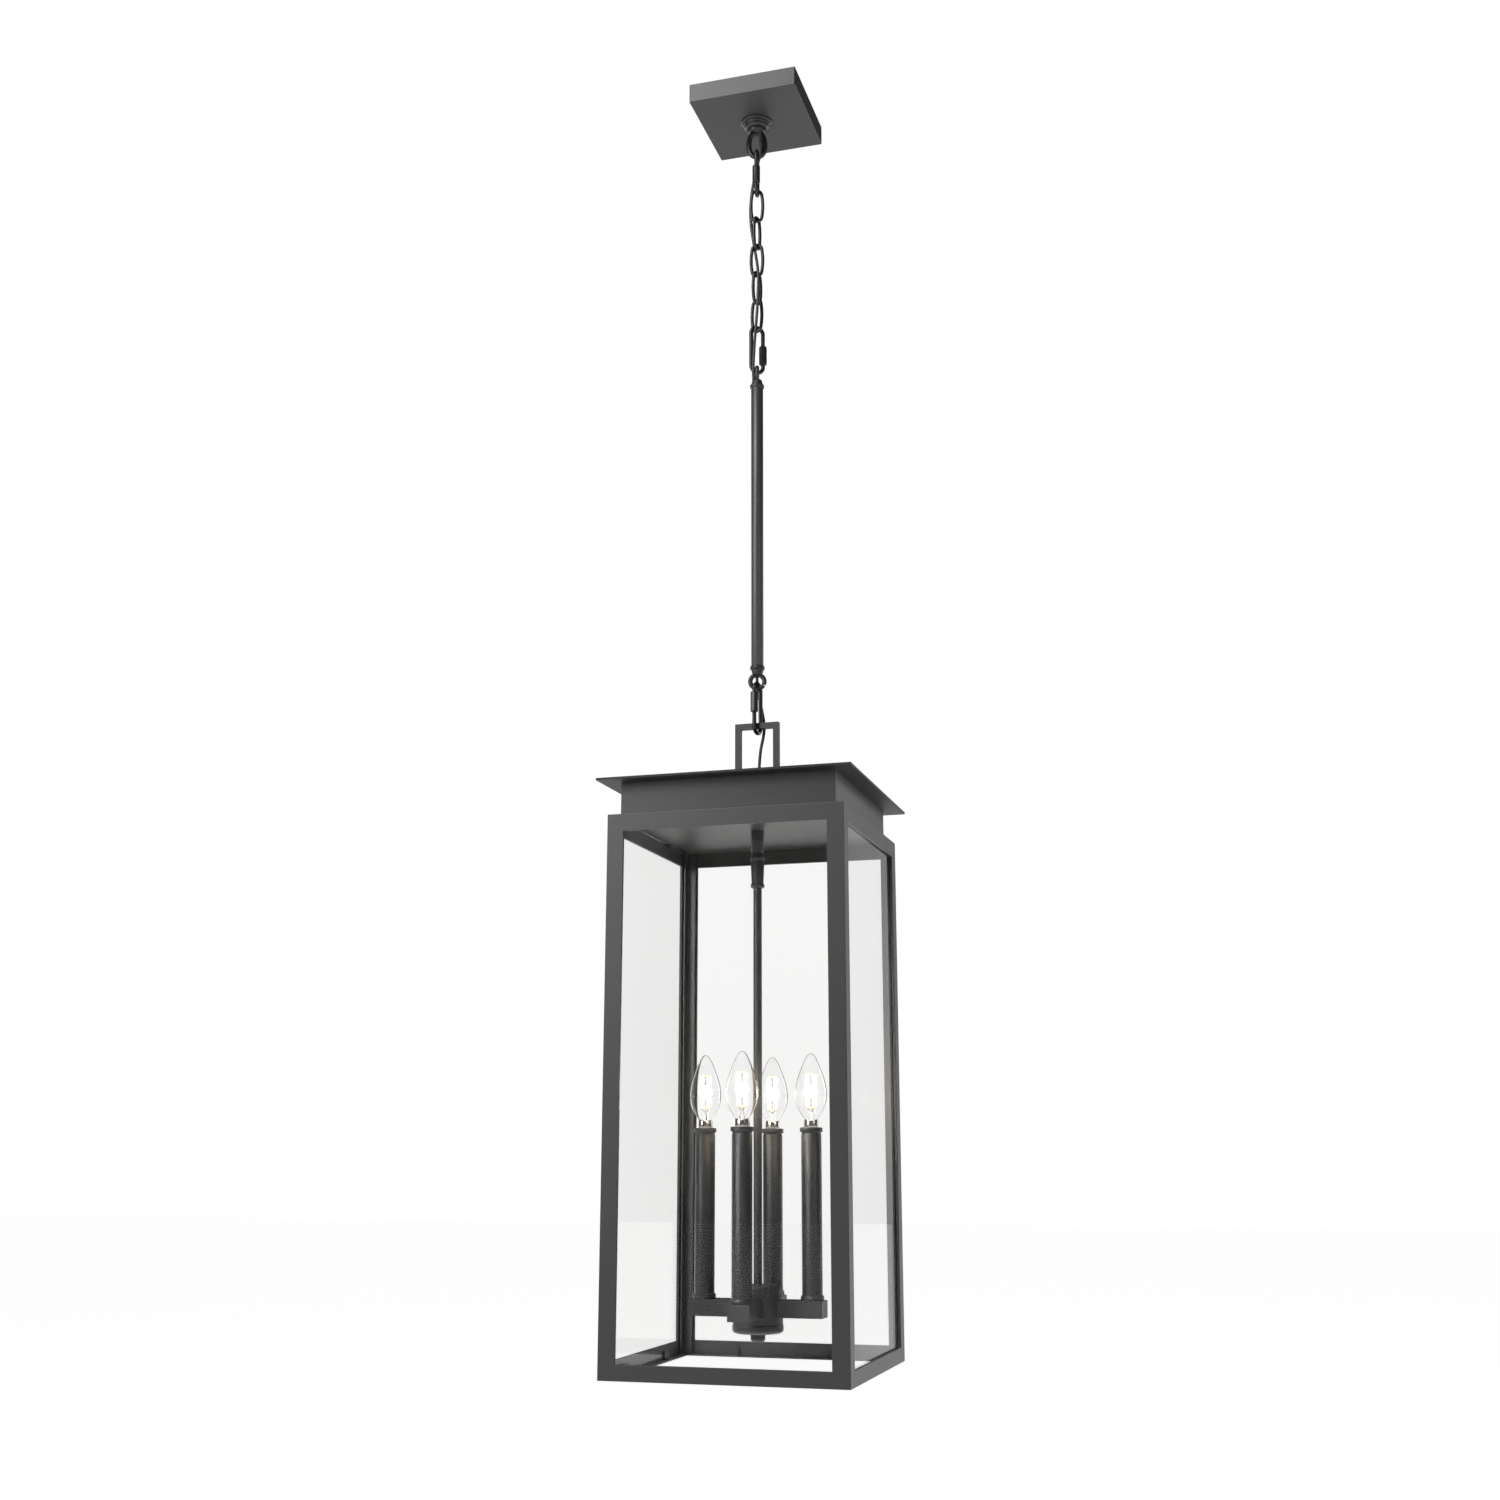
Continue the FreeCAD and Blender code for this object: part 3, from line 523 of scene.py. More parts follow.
def screw_collar():
    lo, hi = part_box("screw_collar")
    r0, z1, z0 = hi.x, hi.z, lo.z
    f = 2.6 * MM
    bore = 11.1 * MM
    pts = [(bore, z1), (r0, z1), (r0, z1 - f * 0.55), (r0 - 1.6 * MM, z1 - f), (r0 - 3.0 * MM, z1 - f),
           (r0 - 3.0 * MM, z1 - f - 1.6 * MM), (r0 - 4.4 * MM, z1 - f - 2.4 * MM),
           (r0 - 4.4 * MM, z1 - f - 4.6 * MM), (r0 - 6.4 * MM, z0 + 0.6 * MM), (r0 - 7.2 * MM, z0), (bore, z0)]
    ring = rounded(pts, 0.5 * MM, 3)
    return closed_lathe("collar_ring", ring, steps=96)


def oval_path(length, width, end_r, top, turn, steps=20):
    """Closed oval centreline of four arcs: tight ends, slightly bowed sides."""
    a, b = width / 2, length / 2
    mid = top - b
    c = b - end_r
    side_r = (a * a + c * c - end_r * end_r) / (2 * (a - end_r))
    half = math.atan2(c, side_r - a)
    side = 12
    pts = []
    for s in (1, -1):
        first = (math.pi if s < 0 else 0.0) + half
        for i in range(steps + 1):
            t = first + (math.pi - 2 * half) * i / steps
            pts.append((end_r * math.cos(t), 0, mid + s * c + end_r * math.sin(t)))
        first = (math.pi if s > 0 else 0.0) - half
        for i in range(1, side):
            t = first + 2 * half * i / side
            pts.append((s * (side_r - a) + side_r * math.cos(t), 0, mid + side_r * math.sin(t)))
    return placed(pts, turn)


def collar_loop():
    lo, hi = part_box("collar_loop")
    c0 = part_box("screw_collar")[0].z
    bulge = [(8.3, 5.0), (9.6, 4.6), (10.8, 3.4), (11.4, 1.6), (11.4, 0.1)]
    prof = [(r * MM, c0 - drop * MM) for r, drop in bulge] + [(11.0 * MM, c0), (11.0 * MM, hi.z)]
    dome = lathe("collar_dome", prof, steps=72)
    wire = 7.0 * MM
    top = c0 - 5.0 * MM + wire / 2
    path = oval_path(top - lo.z - wire, 27.2 * MM - wire, 9.0 * MM, top - wire / 2, LOOP_TURN)
    ring = sweep("collar_eye", path, wire / 2, 24, closed=True)
    return dome, ring


finish_piece(screw_collar(), M_CHAIN, "black_coat", "ceiling_mount", "screw_collar")
for part in collar_loop():
    finish_piece(part, M_CHAIN, "black_coat", "ceiling_mount", "collar_loop")


# --- chain ------------------------------------------------------------------------------------
def chain_link(letter):
    name = "chain_link_" + letter
    lo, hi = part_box(name)
    wire = 4.1 * MM
    turn = plane_turn(name + "_swing")
    path = oval_path(hi.z - lo.z - wire, 18.8 * MM - wire, 6.1 * MM, hi.z - wire / 2, turn, steps=22)
    radii = []
    mid = (hi.z + lo.z) / 2
    for i, p in enumerate(path):
        weld = math.exp(-((p[2] - mid) / (1.3 * MM)) ** 2) if i < len(path) / 2 else 0.0
        radii.append(wire / 2 * (1 + 0.07 * weld))
    obj = sweep(name + "_wire", path, wire / 2, 20, closed=True, radii=radii)
    return finish_piece(obj, M_CHAIN, "chain_black", name, name)


for letter in "abcde":
    chain_link(letter)


def quick_link(label, side, flip=False):
    """Wire oval with a gap in one leg, thread on that leg, and a hexagonal sleeve across the gap.

    Drawn with the gap near the lower bend; a flipped one is turned over about its middle height."""
    pitch, deep = 0.9 * MM, 0.11
    step, turns = 0.15 * MM, 24
    name = "quick_link_" + label
    lo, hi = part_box(name)
    wire, width = 5.0 * MM, 21.0 * MM
    turn = plane_turn(name + "_swing")
    a = (width - wire) / 2
    top_c, low_c = hi.z - width / 2, lo.z + width / 2
    gap0, gap1 = low_c + 8.0 * MM, low_c + 17.0 * MM
    pts, radii = [], []

    def add(x, z, r):
        pts.append((side * x, 0, top_c + low_c - z if flip else z))
        radii.append(r)

    def threaded(z):
        return wire / 2 * (1.0 - deep * (0.5 + 0.5 * math.cos(2 * math.pi * z / pitch)))

    z = gap1
    while z < gap1 + 17.5 * MM:
        add(a, z, threaded(z))
        z += step
    add(a, gap1 + 18.2 * MM, wire / 2)
    add(a, top_c, wire / 2)
    for i in range(1, turns + 1):
        t = math.pi * i / turns
        add(a * math.cos(t), top_c + a * math.sin(t), wire / 2)
    for i in range(1, 8):
        add(-a, top_c + (low_c - top_c) * i / 8, wire / 2)
    for i in range(turns + 1):
        t = math.pi + math.pi * i / turns
        add(a * math.cos(t), low_c + a * math.sin(t), wire / 2)
    z = low_c + 0.8 * MM
    while z <= gap0:
        add(a, z, threaded(z))
        z += step
    obj = sweep(name + "_wire", placed(pts, turn), wire / 2, 20, radii=radii)
    finish_piece(obj, M_CHAIN, "chain_black", name, name)
    nut = "quick_nut_" + label
    nlo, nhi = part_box(nut)
    cx, cy = placed([(side * a, 0, 0)], turn)[0][:2]
    finish_piece(sleeve_nut(nut + "_sleeve", cx, cy, nlo.z, nhi.z, turn), M_CHAIN, "chain_black", nut, nut)


def sleeve_nut(name, cx, cy, z0, z1, turn):
    """Hexagonal sleeve with rounded corners and chamfered ends, bored through."""
    flat, corner, bore = 4.35 * MM, 4.78 * MM, 2.56 * MM
    sides = 72
    rows = [(z0, 0.84), (z0 + 0.5 * MM, 0.93), (z0 + 1.1 * MM, 1.0)]
    rows += [(z1 - 1.1 * MM, 1.0), (z1 - 0.5 * MM, 0.93), (z1, 0.84)]
    verts = []
    for z, k in rows:
        for i in range(sides):
            a = 2 * math.pi * i / sides
            inner = (a + math.pi / 6) % (math.pi / 3) - math.pi / 6
            r = min(flat / math.cos(inner), corner, corner * k)
            verts.append((cx + r * math.cos(a + turn), cy + r * math.sin(a + turn), z))
    for z in (z1, z0):
        for i in range(sides):
            a = 2 * math.pi * i / sides
            verts.append((cx + bore * math.cos(a + turn), cy + bore * math.sin(a + turn), z))
    return sharpen(new_object(name, verts, hoop_faces(len(rows) + 2, sides)), 25)


quick_link("top", -1)
quick_link("mid", 1)
quick_link("low", -1, flip=True)


# --- rod --------------------------------------------------------------------------------------
RING_OUT = 22.0 * MM          # outside diameter of the rod's rings


def rod_fitting(cad, turn, up):
    """Lathe-turned bead and neck with a wire ring; the lower ring is an open eye."""
    lo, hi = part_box(cad)
    s = 1 if up else -1
    wire = 5.5 * MM
    tip = hi.z if up else lo.z
    ring_c = tip - s * RING_OUT / 2
    neck = tip - s * (RING_OUT - wire / 2)
    base = neck - s * 10.0 * MM
    prof = [(r * MM, base + s * rise * MM) for r, rise in (
        (6.6, -1.0), (8.2, 0.0), (8.7, 0.9), (8.7, 2.9), (8.2, 3.8), (7.3, 4.2), (7.0, 5.0), (6.6, 7.0),
        (6.2, 9.0), (5.6, 10.2), (3.5, 10.8))]
    if not up:
        prof = list(reversed(prof))
    body = lathe(cad + "_neck", prof, steps=64)
    big = (RING_OUT - wire) / 2
    steps, start, sweep_deg = (72, 0.0, 360.0) if up else (70, -24.0, 351.0)
    pts = []
    for i in range(steps if up else steps + 1):
        t = math.radians(start + sweep_deg * i / steps)
        pts.append((big * math.cos(t), 0, ring_c + big * math.sin(t)))
    ring = sweep(cad + "_eye", placed(pts, turn), wire / 2, 22, closed=up)
    if not up:
        bevel(ring, 0.5 * MM, 3, 60)
    for o in (body, ring):
        finish_piece(o, M_WARM, "black_coat", "rod", cad)


def rod_pipe():
    """Straight tube with its ends' edges broken."""
    lo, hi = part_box("rod_tube")
    r, bore, edge = hi.x, 4.6 * MM, 0.3 * MM
    return closed_lathe("rod_pipe", [(bore, lo.z), (r - edge, lo.z), (r, lo.z + 0.4 * MM),
                                     (r, (lo.z + hi.z) / 2), (r, hi.z - 0.4 * MM), (r - edge, hi.z),
                                     (bore, hi.z)], steps=72)


rod_fitting("rod_top_ring", plane_turn("rod_swing"), True)
rod_fitting("rod_low_ring", LOOP_TURN, False)
# The rod tube takes the lighter coat: painted light.
finish_piece(rod_pipe(), M_ROD_LIT, "black_coat", "rod", "rod_tube")


# --- leads ------------------------------------------------------------------------------------
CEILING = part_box("canopy_shell")[1].z
VIEW_TURN = math.radians(16.3)          # bearing of someone facing the near corner


def top_of(name):
    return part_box(name)[1].z


def seen(right, back, base, rise):
    """A route point in metres, to a hundredth of a millimetre.

    It is given in millimetres to the right of and behind the axis, as seen by someone facing the near
    corner, and above a base height."""
    c, s = math.cos(VIEW_TURN), math.sin(VIEW_TURN)
    place = ((right * c - back * s) * MM, (right * s + back * c) * MM, base + rise * MM)
    return tuple(round(v, 5) for v in place)


LOW_RING_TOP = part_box("rod_low_ring")[0].z + RING_OUT
UPPER_ROUTE = [
    seen(4.0, -6.4, CEILING, -7.5),
    seen(4.0, -6.4, CEILING, -41.0),
    seen(5.2, -6.9, CEILING, -69.0),
    seen(0.0, 0.0, CEILING, -85.5),
    seen(-7.6, 7.4, top_of("chain_link_a"), -4.0),
    seen(-8.4, 8.2, top_of("chain_link_b"), -4.0),
    seen(-2.5, 5.7, top_of("chain_link_b"), -43.0),
    seen(1.3, -5.8, top_of("chain_link_d"), 0.5),
    seen(1.6, -10.4, top_of("chain_link_d"), -20.0),
    seen(0.2, -11.0, top_of("chain_link_e"), -22.0),
    seen(-3.2, -10.6, top_of("quick_link_mid"), -27.0),
    seen(-5.2, -7.8, top_of("rod_tube"), 18.0),
    seen(-4.0, -3.6, top_of("rod_tube"), 0.9),
]
LOWER_ROUTE = [
    seen(-0.4, 5.4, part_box("rod_tube")[0].z, -0.9),
    seen(-0.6, 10.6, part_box("rod_tube")[0].z, -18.0),
    seen(1.9, 11.8, LOW_RING_TOP, -26.0),
    seen(6.3, 11.7, LOW_RING_TOP, -48.0),
    seen(8.5, 9.8, top_of("bail"), -1.0),
    seen(7.1, 9.2, top_of("bail"), -14.5),
    seen(3.8, 10.3, top_of("bail"), -28.0),
    seen(2.0, 11.6, top_of("bail"), -48.0),
    seen(2.2, 12.7, top_of("bail"), -72.0),
    seen(2.0, 12.4, top_of("roof_plate"), -12.0),
]
LEAD_R = 1.8 * MM


def smooth_line(points):
    """Centreline of a third-order NURBS curve through the route's control points."""
    data = bpy.data.curves.new("route", "CURVE")
    data.dimensions = "3D"
    data.resolution_u = 24
    spline = data.splines.new("NURBS")
    spline.points.add(len(points) - 1)
    for p, co in zip(spline.points, points):
        p.co = (*co, 1.0)
    spline.order_u = 3
    spline.use_endpoint_u = True
    obj = bpy.data.objects.new("route", data)
    bpy.context.collection.objects.link(obj)
    bpy.context.view_layer.update()
    mesh = obj.to_mesh()
    line = [v.co.copy() for v in mesh.vertices]
    obj.to_mesh_clear()
    bpy.data.objects.remove(obj, do_unlink=True)
    bpy.data.curves.remove(data)
    if line[0].z < line[-1].z:
        line.reverse()
    return line


def cut_line(line, z0, z1):
    """The stretch of a falling line between two heights, with exact end points."""
    def at(z):
        for a, b in zip(line, line[1:]):
            if a.z >= z >= b.z and a.z > b.z:
                return a.lerp(b, (a.z - z) / (a.z - b.z))
        return line[0].copy() if z >= line[0].z else line[-1].copy()
    inner = [p for p in line if z1 + 1e-5 < p.z < z0 - 1e-5]
    return [at(z0)] + inner + [at(z1)]


def lead(name, route, bodies, cad):
    """One piece for each joint it crosses; pieces meet halfway down each link."""
    line = smooth_line(route)
    cuts = [line[0].z]
    for b in bodies[1:-1]:
        lo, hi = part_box(b)
        cuts.append((lo.z + hi.z) / 2)
    cuts.append(line[-1].z)
    for i, (a, b) in enumerate(zip(bodies, bodies[1:])):
        path = cut_line(line, cuts[i], cuts[i + 1])
        obj = sweep(name + "_" + str(i + 1), path, LEAD_R, 20)
        obj.data.materials.append(M_CORD)
        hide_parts(cad)
        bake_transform(obj)


lead("upper_lead", UPPER_ROUTE,
     ["ceiling_mount", "quick_link_top", "chain_link_a", "chain_link_b", "chain_link_c", "chain_link_d",
      "chain_link_e", "quick_link_mid", "rod"], "lead_upper")
lead("lower_lead", LOWER_ROUTE, ["rod", "quick_link_low", "lantern"], "lead_lower")


# --- cage -------------------------------------------------------------------------------------
def window_frame(name, half, thick, z0, z1, post, low_rail, top_rail):
    """Square tube wall with one window on each side, as a single welded skin."""
    verts, faces = [], []

    def ring(h, z):
        base = len(verts)
        verts.extend([(-h, -h, z), (h, -h, z), (h, h, z), (-h, h, z)])
        return base

    o_low, o_top = ring(half, z0), ring(half, z1)
    i_low, i_top = ring(half - thick, z0), ring(half - thick, z1)

    def window(h, side):
        base = len(verts)
        w = half - post
        for x, z in ((-w, z0 + low_rail), (w, z0 + low_rail), (w, z1 - top_rail), (-w, z1 - top_rail)):
            p = Vector((x, -h, z))
            p.rotate(Matrix.Rotation(math.pi / 2 * side, 3, "Z"))
            verts.append(tuple(p))
        return base

    for s in range(4):
        n = (s + 1) % 4
        outer, inner = window(half, s), window(half - thick, s)
        for corners, win, flip in (((o_low + s, o_low + n, o_top + n, o_top + s), outer, False),
                                   ((i_low + s, i_low + n, i_top + n, i_top + s), inner, True)):
            for k in range(4):
                m = (k + 1) % 4
                f = (corners[k], corners[m], win + m, win + k)
                faces.append(tuple(reversed(f)) if flip else f)
        for k in range(4):
            m = (k + 1) % 4
            faces.append((outer + k, outer + m, inner + m, inner + k))
        faces.append((o_low + n, o_low + s, i_low + s, i_low + n))
        faces.append((o_top + s, o_top + n, i_top + n, i_top + s))
    obj = new_object(name, verts, faces, smooth=False)
    return bevel(obj, 0.45 * MM, 2, 40)


plo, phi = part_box("cage_posts")
half, WALL = phi.x, 3.2 * MM
cage = window_frame("cage_frame", half, WALL, plo.z, phi.z, 19.0 * MM, 16.4 * MM, 18.8 * MM)
finish_piece(cage, M_CAGE, "black_coat", "lantern", "cage_posts", "top_rails", "low_rails")


def square_ring(name, outer, inner, z0, z1):
    verts, faces = [], []
    for h, z in ((outer, z0), (outer, z1), (inner, z1), (inner, z0)):
        verts += [(-h, -h, z), (h, -h, z), (h, h, z), (-h, h, z)]
    for k in range(4):
        m = (k + 1) % 4
        for s in range(4):
            n = (s + 1) % 4
            faces.append((k * 4 + s, k * 4 + n, m * 4 + n, m * 4 + s))
    return new_object(name, verts, faces, smooth=False)


shelf = square_ring("glass_shelf", half - WALL, half - 14.0 * MM, plo.z, plo.z + 1.6 * MM)
finish_piece(bevel(shelf, 0.3 * MM, 2), M_CAGE, "black_coat", "lantern")


def corner_angles():
    """Slim inner angles behind the panes in each corner."""
    parts = []
    inset = half - WALL - 3.0 * MM
    leg, t = 11.0 * MM, 1.2 * MM
    z0, z1 = plo.z + 1.7 * MM, phi.z - 1.8 * MM
    for sx, sy in ((-1, -1), (1, -1), (1, 1), (-1, 1)):
        for deep_x, deep_y in ((leg, t), (t, leg)):
            xa, xb = sorted((sx * inset, sx * (inset - deep_x)))
            ya, yb = sorted((sy * inset, sy * (inset - deep_y)))
            parts.append(box_mesh("leg", (xa, ya, z0), (xb, yb, z1)))
    obj = join("corner_angles", parts)
    obj.data.polygons.foreach_set("use_smooth", [False] * len(obj.data.polygons))
    return obj


finish_piece(corner_angles(), M_CAGE, "black_coat", "lantern")


# --- stem, cluster and lamps ------------------------------------------------------------------
THREAD_BORE = 4.9 * MM


def stem_parts():
    slo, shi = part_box("stem_nut")
    r = shi.x
    z0, z1 = slo.z, shi.z
    prof = [(THREAD_BORE, z0), (r * 0.86, z0), (r * 0.97, z0 + 0.8 * MM)]
    z = z0 + 1.2 * MM
    while z < z0 + 15.0 * MM:
        prof += [(r, z), (r * 0.955, z + 0.55 * MM)]
        z += 1.1 * MM
    prof += [(r * 0.95, z + 0.4 * MM), (r * 0.95, z1 - 5.0 * MM), (r, z1 - 4.6 * MM), (r, z1),
             (THREAD_BORE, z1)]
    nut = closed_lathe("stem_locknut", prof, steps=72)
    finish_piece(nut, M_CAGE, "black_coat", "lantern", "stem_nut")
    clo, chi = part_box("stem_coupling")
    z0, z1 = clo.z, chi.z
    b = 9.4 * MM
    prof = [(4.86 * MM, z0), (7.2 * MM, z0), (7.9 * MM, z0 + 0.9 * MM), (7.9 * MM, z0 + 3.6 * MM),
            (7.2 * MM, z0 + 4.6 * MM), (6.7 * MM, z0 + 5.2 * MM), (6.9 * MM, z0 + 7.0 * MM),
            (7.9 * MM, z1 - b - 0.6 * MM), (7.5 * MM, z1 - b + 0.2 * MM), (7.9 * MM, z1 - b + 1.0 * MM),
            (8.4 * MM, z1 - b + 2.2 * MM), (8.4 * MM, z1 - b + 4.4 * MM), (7.8 * MM, z1 - b + 5.6 * MM),
            (7.3 * MM, z1 - b + 6.4 * MM), (7.3 * MM, z1 - 0.6 * MM), (7.0 * MM, z1), (4.86 * MM, z1)]
    coupling = closed_lathe("stem_socket", prof, steps=72)
    finish_piece(coupling, M_CAGE, "black_coat", "lantern", "stem_coupling")
    tlo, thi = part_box("stem_tube")
    r = thi.x
    tube = closed_lathe("stem_pipe", [(3.2 * MM, tlo.z), (r, tlo.z), (r, (tlo.z + thi.z) / 2), (r, thi.z),
                                      (3.2 * MM, thi.z)], steps=56)
    finish_piece(tube, M_SLEEVE, "black_coat", "lantern", "stem_tube")


def cluster_parts():
    hlo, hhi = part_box("hub")
    r = hhi.x
    top, low = hhi.z, hlo.z
    prof = [(4.86 * MM, top - 1.2 * MM), (4.86 * MM, top), (r - 3.4 * MM, top),
            (r - 1.6 * MM, top - 0.5 * MM), (r - 0.5 * MM, top - 1.6 * MM), (r, top - 3.2 * MM),
            (r, low + 12 * MM), (r, low + 0.5 * MM), (r - 0.5 * MM, low), (r - 2.0 * MM, low),
            (r - 2.0 * MM, top - 4.0 * MM), (6.0 * MM, top - 2.0 * MM)]
    hub = closed_lathe("hub_shell", prof, steps=96)
    finish_piece(hub, M_CAGE, "black_coat", "lantern", "hub")
    clo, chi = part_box("hub_cap")
    r, z0, z1 = chi.x, clo.z, chi.z
    seam = 0.5 * MM
    cap = lathe("hub_base", rounded([(0, z0 + 0.3 * MM), (r - 3.2 * MM, z0), (r, z0 + 2.2 * MM),
                                     (r, z1 - 2 * seam), (r - seam, z1 - seam), (r - seam, z1), (0, z1)],
                                    1.6 * MM), steps=96)
    finish_piece(cap, M_CAGE, "black_coat", "lantern", "hub_cap")
    flo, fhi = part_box("finial")
    r, z0, z1 = fhi.x, flo.z, fhi.z
    fin = lathe("hub_finial", rounded([(0, z0), (r * 0.72, z0), (r, z0 + 2.2 * MM), (r, z1 - 0.5 * MM),
                                       (r, z1), (0, z1)], 0.9 * MM), steps=48)
    finish_piece(fin, M_CAGE, "black_coat", "lantern", "finial")


SIDES = {"right": (1, 0), "back": (0, 1), "left": (-1, 0), "front": (0, -1)}


def candle_parts():
    cups, sleeves = [], []
    clo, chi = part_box("candle_cups")
    slo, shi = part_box("candle_sleeves")
    z0, z1 = clo.z, chi.z
    s0, s1 = slo.z, shi.z
    blo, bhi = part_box("bulb_glass_right")
    at = (blo.x + bhi.x) / 2
    for dx, dy in SIDES.values():
        c = (at * dx, at * dy)
        r = chi.x - at
        prof = rounded([(THREAD_BORE, z0), (r, z0), (r, z0 + 3.6 * MM), (r - 0.5 * MM, z1 - 0.5 * MM),
                        (r - 1.3 * MM, z1), (THREAD_BORE, z1)], 0.6 * MM, 3)
        cups.append(closed_lathe("cup", prof, c, 64))
        r, w, e = 11.1 * MM, 1.2 * MM, 1.4 * MM
        prof = [(r - w, s0), (r, s0), (r, s0 + 40 * MM), (r, s1 - 7.6 * MM), (r - 0.45 * MM, s1 - 7.0 * MM),
                (r - 0.45 * MM, s1 - 5.8 * MM), (r, s1 - 5.2 * MM), (r + e * 0.7, s1 - 5.0 * MM),
                (r + e, s1 - 4.3 * MM), (r + e, s1 - 1.0 * MM), (r + e * 0.7, s1 - 0.2 * MM), (r, s1),
                (r - w, s1 - 0.2 * MM), (r - w, s1 - 60 * MM)]
        sleeves.append(closed_lathe("sleeve", prof, c, 64))
    finish_piece(sharpen(join("base_rings", cups), 40), M_CAGE, "black_coat", "lantern", "candle_cups")
    finish_piece(sharpen(join("candle_tubes", sleeves), 40), M_SLEEVE, "sleeve_black", "lantern",
                 "candle_sleeves")


def lamp(side):
    glo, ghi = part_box("bulb_glass_" + side)
    blo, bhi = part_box("bulb_base_" + side)
    c = ((glo.x + ghi.x) / 2, (glo.y + ghi.y) / 2)
    z0, z1 = glo.z, ghi.z
    h = z1 - z0
    shape = [(7.0, 0.0), (7.7, 0.02), (9.3, 0.052), (11.5, 0.095), (13.7, 0.15), (15.7, 0.215),
             (16.95, 0.285), (17.45, 0.36), (17.35, 0.43), (16.7, 0.51), (15.4, 0.59), (13.5, 0.67),
             (11.4, 0.75), (9.4, 0.82), (7.6, 0.88), (6.0, 0.925), (4.4, 0.96), (2.8, 0.984),
             (1.4, 0.996), (0.0, 1.0)]
    wall = 0.35 * MM
    outer = [(r * MM, z0 + f * h) for r, f in shape]
    inner = [(max(r * MM - wall, 0.0), z0 + f * (h - wall)) for r, f in shape]
    glass = shell_of(outer, inner, c, "lamp_glass_" + side)
    finish_piece(glass, M_BULB, "bulb_glass", "bulb_" + side, "bulb_glass_" + side)
    t = bhi.z
    prof = [(0.0, blo.z), (2.2 * MM, blo.z), (2.6 * MM, blo.z + 1.0 * MM), (4.2 * MM, blo.z + 2.4 * MM)]
    pitch, steps = 3.2 * MM, 8
    z = blo.z + 3.6 * MM
    while z < t - 14.5 * MM:
        for k in range(steps):
            a = 2 * math.pi * k / steps
            prof.append(((6.1 + 0.32 * math.cos(a)) * MM, z + k * pitch / steps))
        z += pitch
    prof += [(6.1 * MM, t - 12.4 * MM), (8.1 * MM, t - 12.0 * MM), (8.3 * MM, t - 11.4 * MM),
             (8.3 * MM, t - 1.6 * MM), (8.0 * MM, t - 0.5 * MM), (7.2 * MM, t), (0.0, t)]
    base = lathe("lamp_base_" + side, prof, c, 56)
    finish_piece(base, M_COLLAR, "lamp_collar", "bulb_" + side, "bulb_base_" + side)
    core_parts(side, c, t)
    lamp_light(side, c, t + 0.031)


def shell_of(outer, inner, c, name):
    """Closed hollow glass: outer skin and turned-over inner skin, joined at the foot."""
    a = lathe(name + "_a", outer, c, 64)
    b = lathe(name + "_b", inner, c, 64)
    verts, faces = [], []
    for obj, flip in ((a, False), (b, True)):
        base = len(verts)
        verts += [v.co.copy() for v in obj.data.vertices]
        for p in obj.data.polygons:
            ids = [i + base for i in p.vertices]
            if len(ids) > 4:
                continue
            faces.append(ids[::-1] if flip else ids)
    na = len(a.data.vertices)
    for i in range(64):
        j = (i + 1) % 64
        faces.append((i, na + i, na + j, j))
    for o in (a, b):
        bpy.data.objects.remove(o, do_unlink=True)
    return new_object(name, verts, faces)


def lamp_light(side, c, z):
    data = bpy.data.lights.new("lamp_light_" + side, "POINT")
    data.energy = 0.3
    data.color = (1.0, 0.83, 0.62)
    data.shadow_soft_size = 0.008
    obj = bpy.data.objects.new("lamp_light_" + side, data)
    bpy.context.collection.objects.link(obj)
    obj.location = (c[0], c[1], z)
    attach(obj, "bulb_" + side)


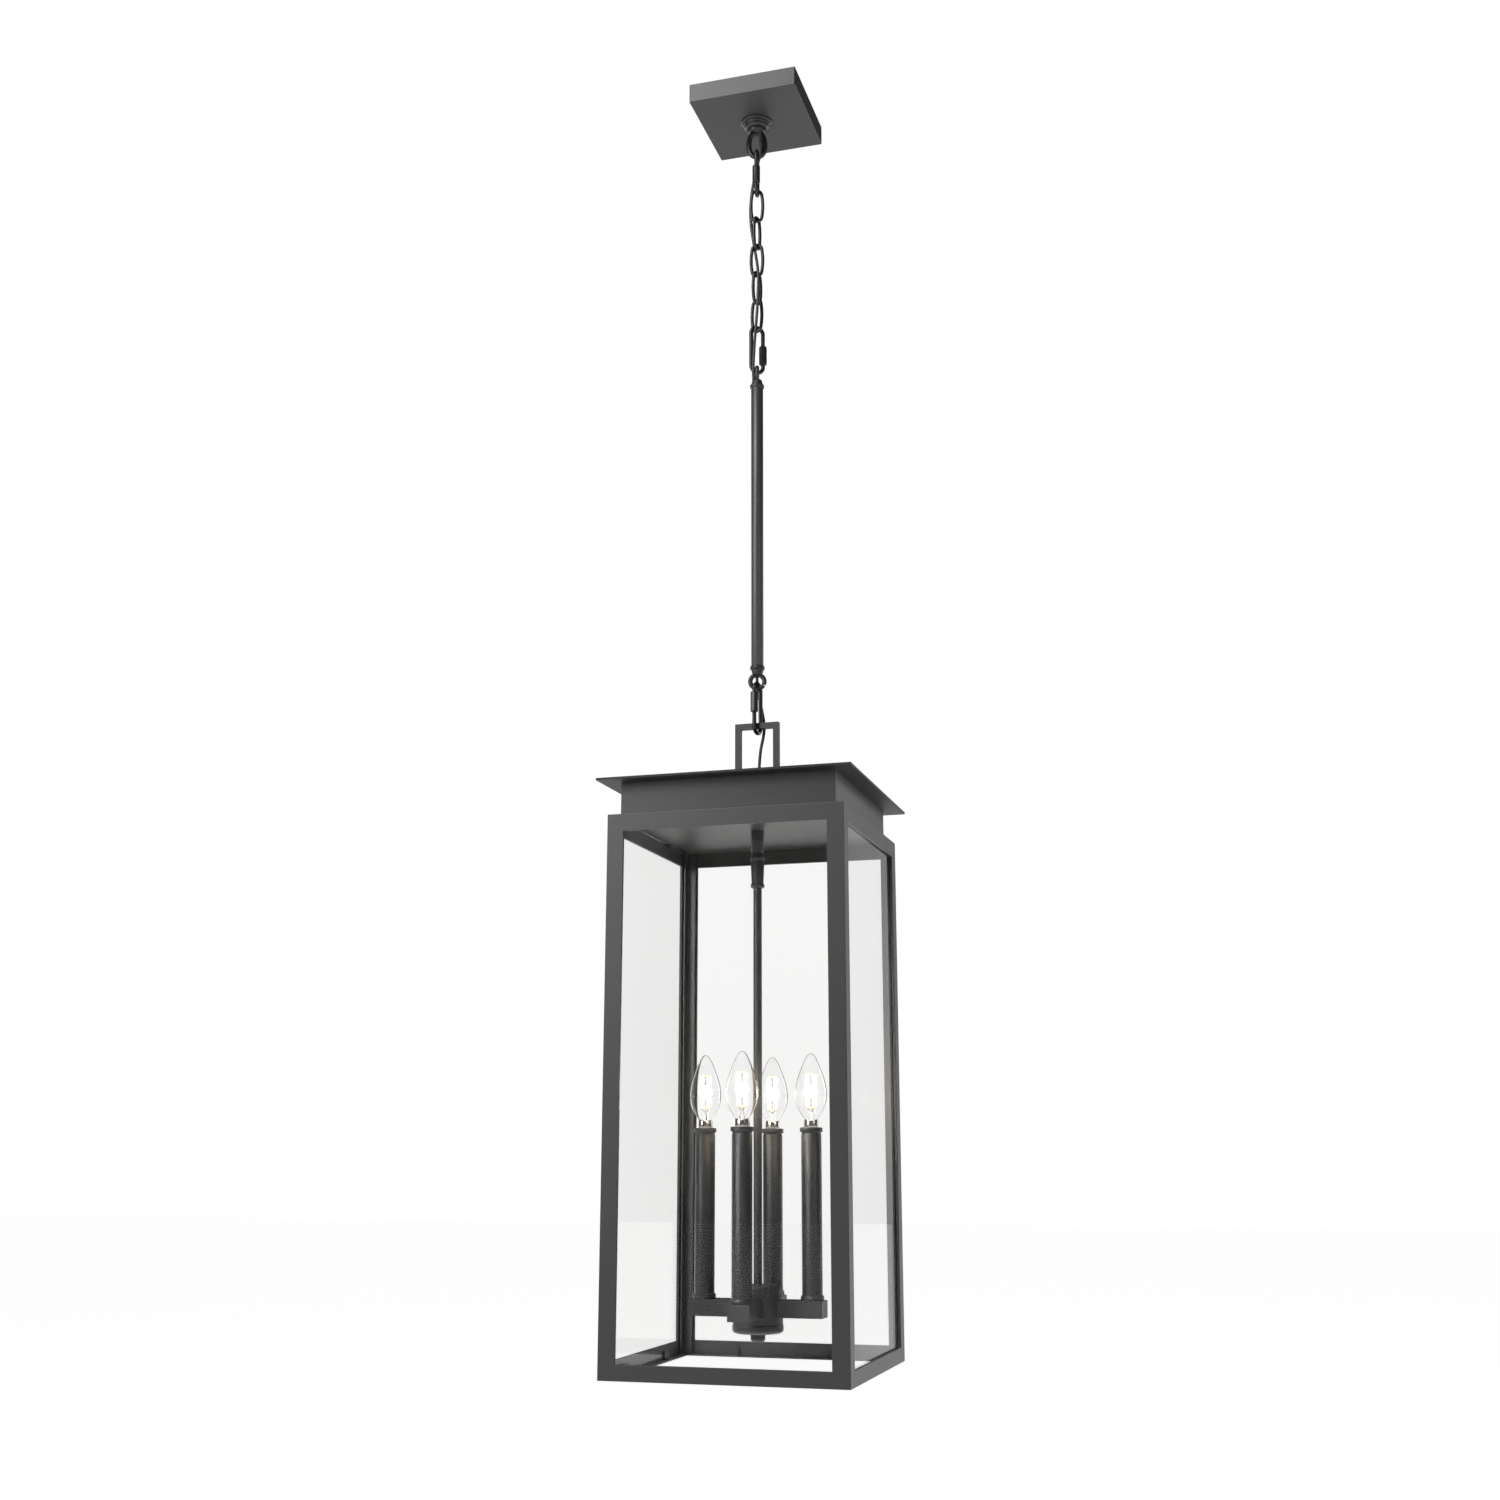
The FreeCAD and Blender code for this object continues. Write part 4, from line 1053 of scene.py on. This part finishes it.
def core_parts(side, c, t):
    """Glass pip, support wires, two amber crowns with a painted glow and four upright filament strips between
    them.
    """
    stem = [(3.4, 0), (3.1, 3), (2.2, 7), (1.5, 11), (1.1, 13), (0.0, 13.6)]
    pip = lathe("pip_" + side, [(r * MM, t + rise * MM) for r, rise in stem], c, 24)
    finish_piece(pip, M_BULB, "bulb_glass", "bulb_" + side)
    low, high = t + 14.5 * MM, t + 48.5 * MM
    out, foot = 6.3 * MM, 5.6 * MM
    rods, wires, crowns = [], [], []
    for i in range(4):
        a = math.radians(45 + 90 * i)
        ux, uy = math.cos(a), math.sin(a)

        def at(r, z):
            return Vector((c[0] + r * ux, c[1] + r * uy, z))

        n = 12
        rods.append(sweep("r", [at(foot + (out - foot) * k / n, low + (high - low) * k / n)
                                for k in range(n + 1)], 0.55 * MM, 12))
        wires.append(sweep("w", [at(0.8 * MM, t + 9.0 * MM), at(2.4 * MM, t + 10.4 * MM),
                                 at(4.2 * MM, t + 12.0 * MM), at(foot, low + 0.2 * MM)], 0.3 * MM, 8))
        for r, z, tip in ((out, high + 0.3 * MM, high + 1.3 * MM), (foot, low - 0.3 * MM, low - 1.3 * MM)):
            crowns.append(sweep("k", [at(0.3 * MM, tip), at(2.8 * MM, tip), at(r - 0.6 * MM, (z + tip) / 2),
                                      at(r, z)], 0.6 * MM, 10))
    spine = [Vector((c[0], c[1], t + 13.0 * MM)), Vector((c[0], c[1], high + 2.6 * MM))]
    wires.append(sweep("w", spine, 0.35 * MM, 8))
    finish_piece(join("lamp_strips_" + side, rods), M_CORE, "filament", "bulb_" + side, "bulb_core_" + side)
    # The crowns' glow is painted glow, not a lamp.
    finish_piece(join("lamp_crowns_" + side, crowns), M_AMBER_PAINTED_GLOW, "filament", "bulb_" + side)
    finish_piece(join("lamp_wires_" + side, wires), M_MOUNT, "filament", "bulb_" + side)


stem_parts()
cluster_parts()
candle_parts()
for side in SIDES:
    lamp(side)

# --- CAD nodes that stay ----------------------------------------------------------------------
# roof_plate takes the darker roof coat: painted shade.
KEPT = {
    "canopy_shell": (M_WARM, 0.0), "crossbar": (M_ZINC, 0.3), "ground_screw": (M_GREEN, 0.2),
    "nipple": (M_ZINC, 0.0), "nipple_nuts": (M_ZINC, 0.3), "bail": (M_WARM, 0.5), "roof_plate": (M_ROOF_SHADED, 0.5),
    "neck_box": (M_CAGE, 0.5), "ceiling_plate": (M_CAGE, 0.2), "glass_clips": (M_CLIP, 0.15),
    "tie_tube": (M_ZINC, 0.0), "tie_nuts": (M_ZINC, 0.3), "hub_nut": (M_ZINC, 0.2), "arms": (M_CAGE, 0.5),
    "sockets": (M_SOCKET, 0.2), "glass_front": (M_PANE, 0.0), "glass_back": (M_PANE, 0.0),
    "glass_left": (M_PANE, 0.0), "glass_right": (M_PANE, 0.0),
}
for name, (mat, edge) in KEPT.items():
    obj = frame["nodes"][name]
    obj.data.materials.clear()
    obj.data.materials.append(mat)
    if edge:
        bevel(obj, edge * MM, 2, 40)
